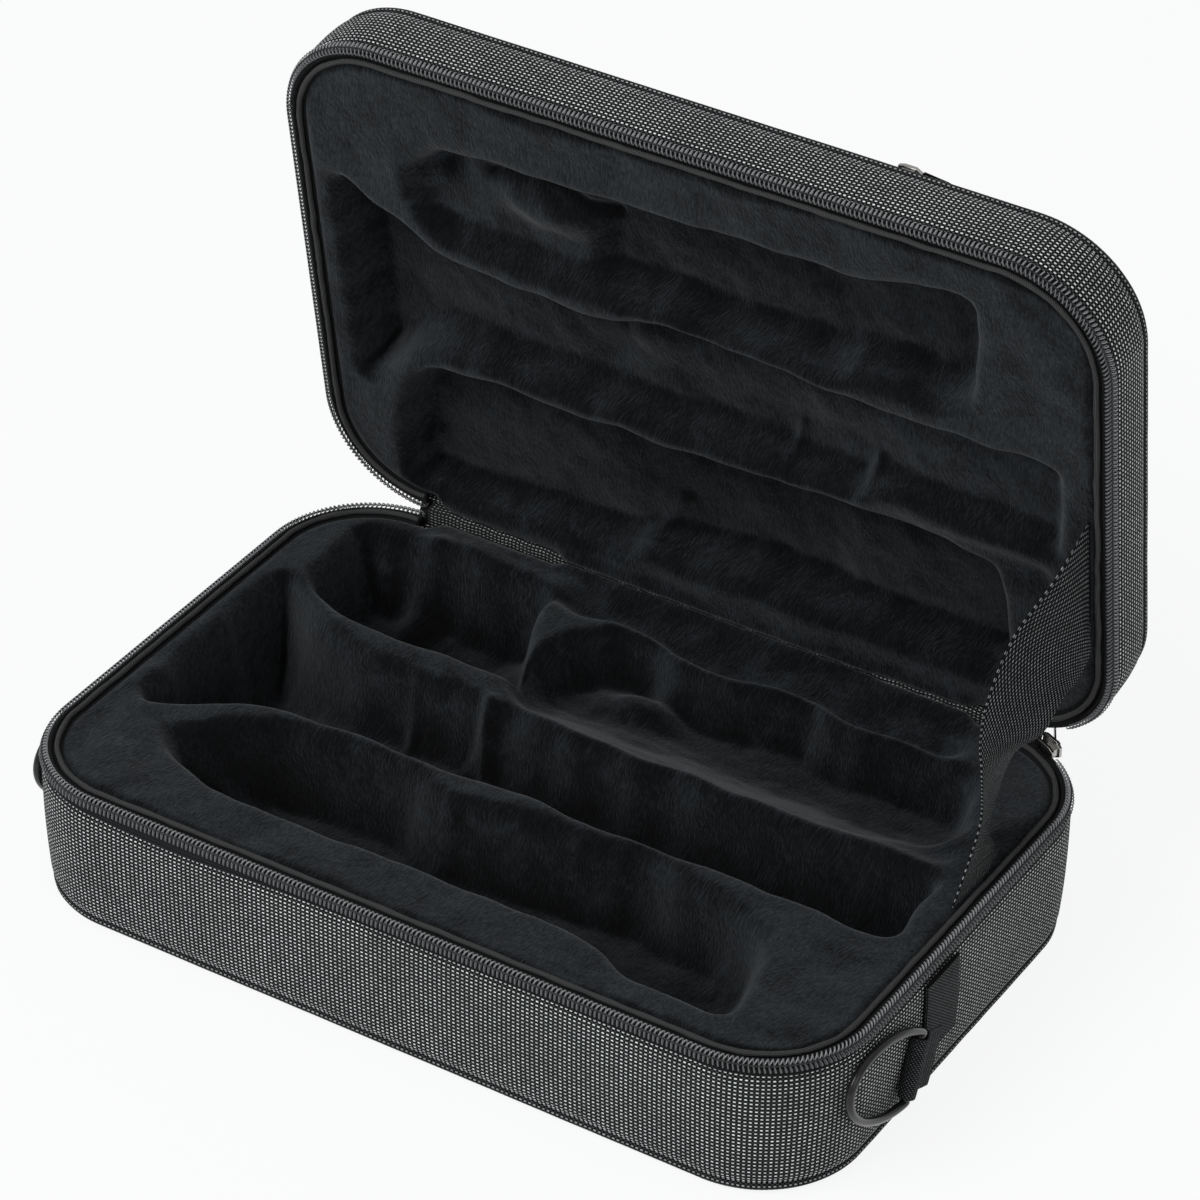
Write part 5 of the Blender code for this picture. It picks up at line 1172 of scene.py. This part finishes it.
def makeTab(name, side):
    # the loop round the ring's bar: out along the wall, a half circle, back to meet itself at its tail
    t, inner = ringPart["tab"], ringPart["wire"] / 2 + case["gap"]
    low = -inner + case["gap"] + t / 2
    a = np.radians(np.linspace(270, 90, 15))
    turn = [((inner + t / 2) * math.sin(b), (inner + t / 2) * math.cos(b)) for b in a]
    back = [(-(inner + t / 2), y) for y in np.linspace(ringPart["tail"], 0.002, 8)]
    ahead = smoothLine([(inner + t / 2, ringPart["shoulder"]), (0.0009, 0.0058), (low, ringPart["meet"]),
                        (low, 0.0155), (low, ringPart["tail"])], 5)
    loop = strapBand(np.vstack([back, turn, ahead]), ringPart["tabWidth"] / 2, t)
    loop[:, :, 0] *= side
    loop = carried(loop, ringPlace(side, swing=False))
    piece = bandMesh(name + "Loop", loop, tabCloth, "base", closed=False, smooth=60)
    node = "right_d_ring_tab" if side > 0 else "left_d_ring_tab"
    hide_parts(node)
    near = halfX + case["gap"] + ringPart["skew"]
    far = halfX + case["gap"] + 2 * t
    top = case["baseHeight"] - shell["wallTop"] - case["gap"]
    z = np.linspace(ringPart["anchorLow"], top, 16)
    pressed = 0.0003 * np.clip((z - (top - 0.005)) / 0.005, 0, 1)
    x = (near + far) / 2 - pressed
    strip = strapBand(np.column_stack([x, z]), ringPart["tabWidth"] / 2, (far - near) * 0.82)
    strip = np.stack([side * strip[:, :, 0], ringPart["anchorY"] + strip[:, :, 2], strip[:, :, 1]], axis=2)
    anchor = bandMesh(name + "Anchor", strip, tabCloth, "base", closed=False, smooth=60)
    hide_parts(node)


for ringName, side in (("right", 1), ("left", -1)):
    makeRing(ringName + "Ring", side)
    makeTab(ringName + "Tab", side)
print("rings and tabs ready")


# Hard pieces whose CAD shape is right: a merged copy with its edges rounded over
def refineNode(node, name, material, width, body):
    source = bpy.data.objects[node]
    mesh = source.data.copy()
    mesh.name = name
    mesh.materials.clear()
    mesh.materials.append(material)
    work = bmesh.new()
    work.from_mesh(mesh)
    bmesh.ops.remove_doubles(work, verts=work.verts, dist=2e-6)
    bmesh.ops.dissolve_limit(work, angle_limit=math.radians(1.5), verts=work.verts, edges=work.edges)
    work.to_mesh(mesh)
    work.free()
    made = bpy.data.objects.new(name, mesh)
    bpy.context.scene.collection.objects.link(made)
    mesh.shade_smooth()
    mesh.set_sharp_from_angle(angle=math.radians(32))
    bevel = made.modifiers.new("roundedEdges", "BEVEL")
    bevel.width, bevel.segments, bevel.limit_method = width, 2, "ANGLE"
    bevel.angle_limit = math.radians(32)
    bevel.use_clamp_overlap = True
    bevel.harden_normals = True
    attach(made, body)
    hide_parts(node)
    return made


refineNode("main_slider", "mainSlider", nickelPlate, 0.00022, "base")
refineNode("main_slider_pull", "mainPull", nickelPlate, 0.00016, "main_pull")
refineNode("pocket_slider", "pocketSlider", nickelPlate, 0.00022, "pocket_slider")
# the soft pull's free end sinks onto the zipper, and it is narrower than its solid
pullDroop = dict(fall=0.0020, first=0.081, over=0.006, middle=-0.1074, narrow=0.40)
outward = Vector((0.0, math.sin(opened), math.cos(opened)))
backward = Vector((0.0, math.cos(opened), -math.sin(opened)))
for corner in refineNode("pocket_slider_pull", "pocketPull", tabCloth, 0.00016, "pocket_pull").data.vertices:
    t = min(1.0, max(0.0, (corner.co.x - pullDroop["first"]) / pullDroop["over"]))
    across = axisY + (corner.co - Vector((0.0, axisY, axisZ))).dot(backward) - pullDroop["middle"]
    corner.co -= pullDroop["fall"] * t * t * (3 - 2 * t) * outward + pullDroop["narrow"] * across * backward
refineNode("handle_lug_right", "rightLug", mouldedBlack, 0.0005, "base")
refineNode("handle_lug_left", "leftLug", mouldedBlack, 0.0005, "base")
print("sliders, pulls and lugs ready")


# Carry handle on the spine: a moulded grip on two pins
handle = dict(span=0.116, z=0.0440, drop=0.0330, grip=0.084, thick=0.0070, wide=0.0088, neck=0.0042,
              stand=0.0098, pin=0.0024, pinLength=0.0090, grooves=9, grooveDepth=0.00045)


def makeHandle():
    # the path hangs from its pins; the section grows from neck to grip, with grooves for the fingers
    pivot = np.array((0.0, halfY + case["gap"] + handle["stand"], handle["z"]))
    half, drop, grip = handle["span"] / 2, handle["drop"], handle["grip"] / 2
    bend = half - grip
    a = np.radians(np.linspace(0, 90, 5))
    side = [(half, 0, 0), (half, 0, -(drop - bend) * 0.5)]
    side += [(grip + bend * math.cos(b), 0, -(drop - bend) - bend * math.sin(b)) for b in a]
    side += [(grip * share, 0, -drop) for share in (0.8, 0.4, 0.0)]
    path = smoothLine(side + [(-x, y, z) for x, y, z in side[-2::-1]], 8)
    place = np.linspace(-1, 1, len(path))
    fat = np.clip(1.25 - np.abs(place) * 1.25, 0, 1)
    fat = fat * fat * (3 - 2 * fat)
    groove = handle["grooveDepth"] * np.clip((0.5 - np.abs(place)) * 8, 0, 1) * (
        0.5 - 0.5 * np.cos(2 * np.pi * handle["grooves"] * place)) ** 3
    thick = handle["neck"] + (handle["thick"] - handle["neck"]) * fat - groove
    wide = handle["neck"] + (handle["wide"] - handle["neck"]) * fat - groove
    rings = tubeRings(path, 1.0, 22, (0.0, 1.0, 0.0))
    spokes = rings - path[:, None]
    along = np.abs(spokes[:, :, 1:2])
    spokes = spokes * (thick[:, None, None] * (1 - along ** 2) + wide[:, None, None] * along ** 2)
    bar = bandMesh("handleGrip", pivot + path[:, None] + spokes, mouldedBlack, "handle",
                   closed=False, smooth=50)
    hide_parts("carry_handle")
    for way, pinName in ((1, "rightPin"), (-1, "leftPin")):
        ends = [(way * (half - handle["neck"] / 2), 0, 0),
                (way * (half + handle["neck"] + handle["pinLength"]), 0, 0)]
        line = np.linspace(ends[0], ends[1], 7)
        reach = np.array([1, 1, 1, 1, 1, 1, 0.8]) * handle["pin"]
        pin = bandMesh(pinName, pivot + tubeRings(line, reach, 20, (0.0, 0.0, 1.0)), mouldedBlack, "handle",
                       closed=False, smooth=50)
        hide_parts("carry_handle")


makeHandle()
print("handle ready")


# Pocket on the lid's outer face: crowned cloth, its piping, and a zipper along its front
pocket = dict(length=0.326, depth=0.203, y=0.0020, radius=0.036, rise=0.0040, crown=0.0170, cloth=0.0016,
              piping=0.0015, zip=0.270, tapeWidth=0.0086, tape=0.0007, coilWidth=0.0044, coilHeight=0.0018,
              pitch=0.0015, wireRadius=0.00030, crease=0.00035, seed=91)


def pocketOutline(s, inset=0.0):
    # a rounded rectangle of the pocket's size, run by its own length; returns points and outward directions
    r = pocket["radius"]
    cx, cy = pocket["length"] / 2 - r, pocket["depth"] / 2 - r
    quarter = r * math.pi / 2
    runs = np.cumsum([0, quarter, 2 * cy, quarter, 2 * cx, quarter, 2 * cy, quarter, 2 * cx])
    at = np.mod(s, 1.0) * runs[-1]
    k = np.clip(np.searchsorted(runs, at, side="right") - 1, 0, 7)
    t = at - runs[k]
    corner = np.array([(cx, cy), (cx, -cy), (-cx, -cy), (-cx, cy)])[k // 2]
    first = np.radians(np.array([90, 0, -90, -180]))[k // 2]
    angle = np.where(k % 2 == 0, first - t / r, first - np.pi / 2)
    out = np.stack([np.cos(angle), np.sin(angle)], axis=-1)
    ahead = np.stack([out[:, 1], -out[:, 0]], axis=-1)
    point = corner + r * out + np.where(k % 2 == 0, 0.0, t)[:, None] * ahead
    return point - inset * out + np.array((0.0, pocket["y"])), out, runs[-1]


def makePocketCloth():
    # height = rise + crown*(1 - share^2.4) inside the sewn edge, creased from the corners by shallow waves
    around, levels = 260, 34
    s = np.arange(around) / around
    edge = pocketOutline(s)[0]
    centre = np.array((0.0, pocket["y"]))
    share = np.concatenate([[1.0, 0.9965, 0.992, 0.985], np.linspace(0.97, 0.05, levels - 4)])
    draw = np.random.default_rng(pocket["seed"])
    levelBase = halves["lid"]["height"] + case["gap"]
    x = centre[0] + (edge[None, :, 0] - centre[0]) * share[:, None]
    y = centre[1] + (edge[None, :, 1] - centre[1]) * share[:, None]
    step = np.clip((1 - share) / 0.011, 0, 1)
    height = levelBase + pocket["rise"] * np.sqrt(1 - (1 - step) ** 2)[:, None] + pocket["crown"] * (
        1 - share ** 2.4)[:, None]
    fold = np.zeros(x.shape)
    for size, reach in ((1.0, 0.055), (0.7, 0.03), (0.45, 0.016)):
        for _ in range(5):
            angle, phase = draw.uniform(0, np.pi), draw.uniform(0, 2 * np.pi)
            fold += size * np.sin(2 * np.pi * (x * math.cos(angle) + y * math.sin(angle)) / reach + phase)
    pull = np.sin(2 * np.pi * 34 * s + 2.0 * np.sin(2 * np.pi * 5 * s))[None, :] * np.exp(
        -((share - 0.955) / 0.03) ** 2)[:, None]
    height = height + pocket["crease"] * (0.5 * fold * (1 - share[:, None] ** 8) + 1.2 * pull)
    inner = np.clip(1 - pocket["cloth"] / (pocket["depth"] / 2), 0, 1)
    xi, yi = centre[0] + (x - centre[0]) * inner, centre[1] + (y - centre[1]) * inner
    hi = np.maximum(height - pocket["cloth"], levelBase)
    points = np.vstack([np.stack([x, y, height], 2), np.stack([xi, yi, hi], 2)[::-1]])
    tip = [[0.0, pocket["y"], height[-1].mean() + 0.00002], [0.0, pocket["y"], hi[-1].mean()]]
    grid = np.concatenate([points[:levels][::-1], points[levels:][::-1]])
    flat = grid.reshape(-1, 3)
    quads = gridQuads(2 * levels, around, False, True)
    last = (2 * levels - 1) * around
    k = np.arange(around)
    fans = np.vstack([np.column_stack([np.full(around, len(flat)), k, (k + 1) % around]),
                      np.column_stack([last + (k + 1) % around, last + k, np.full(around, len(flat) + 1)])])
    verts = placeLid(np.vstack([flat, tip]))
    corners = np.vstack([flat, tip])[:, :2]
    uv = np.vstack([corners[quads].reshape(-1, 2), corners[fans].reshape(-1, 2)])
    cloth = finishMesh("pocketCloth", verts, quads.tolist() + fans.tolist(), wovenCloth, "lid",
                       uv, 60)
    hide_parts("pocket_panel")


def makePocketPiping():
    s = np.arange(420) / 420
    offset = -pocket["piping"] - case["gap"]
    point, out, length = pocketOutline(s, offset)
    level = halves["lid"]["height"] + case["gap"] + pocket["piping"]
    a = 2 * np.pi * np.arange(14) / 14
    swell = pocket["piping"] * (1 + 0.05 * np.sin(2 * np.pi * 83 * s))[:, None]
    flat = point[:, None] + (swell * np.cos(a))[:, :, None] * out[:, None]
    rings = np.concatenate([flat, (level + swell * np.sin(a))[:, :, None]], axis=2)
    cord = bandMesh("pocketPiping", placeLid(rings), boundCloth, "lid",
                    along=np.linspace(0, length, 421))
    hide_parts("pocket_piping")


def makePocketZip():
    # tape: a thin strip with rounded edges; coil: two opposed helices, half a pitch apart
    front = pocket["y"] - pocket["depth"] / 2 - 2 * pocket["piping"] - 2 * case["gap"]
    base = halves["lid"]["height"] + case["gap"]
    half = pocket["zip"] / 2
    x = evenSteps(-half, half, 0.0025)
    y0, y1 = front - pocket["tapeWidth"], front
    wave1 = 0.00012 * np.sin(x * 190)
    section = np.array([(y0, 0.0), (y0, 0.6), (y0 + 0.0004, 1.0), (y0 + 0.0015, 0.85), (y0 + 0.0019, 1.0),
                        (y1 - 0.0019, 1.0), (y1 - 0.0015, 0.85), (y1 - 0.0004, 1.0), (y1, 0.6), (y1, 0.0)])
    rings = np.empty((len(x), len(section), 3))
    rings[:, :, 0] = x[:, None]
    rings[:, :, 1] = section[None, :, 0] + wave1[:, None]
    rings[:, :, 2] = base + section[None, :, 1] * pocket["tape"]
    tape = bandMesh("pocketTape", placeLid(rings), tapeCloth, "lid", closed=False, along=x)
    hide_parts("pocket_zipper_tape")
    middle = (y0 + y1) / 2
    low = base + pocket["tape"] + case["gap"]
    reach = half - 2 * pocket["coilWidth"]
    turns, points, wireR = int(2 * reach / pocket["pitch"]), 12, pocket["wireRadius"]
    a = 2 * np.pi * np.arange(turns * points) / points
    for side, coilName in ((1, "pocketCoilUpper"), (-1, "pocketCoilLower")):
        swing = (1 + np.cos(a)) / 2 * (pocket["coilWidth"] / 2 + 0.0004 - wireR) - 0.0004
        path = np.column_stack([-reach + pocket["pitch"] * (a / (2 * np.pi) + (0.5 if side < 0 else 0.0)),
                                middle + side * swing,
                                low + pocket["coilHeight"] / 2 + (pocket["coilHeight"] / 2 - wireR) * np.sin(a)])
        rings = tubeRings(placeLid(path), wireR, 6, (1.0, 0.0, 0.0))
        coil = bandMesh(coilName, rings, coilNylon, "lid", closed=False, smooth=70)
        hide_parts("pocket_zipper_coil")


makePocketCloth()
makePocketPiping()
makePocketZip()
print("pocket ready")
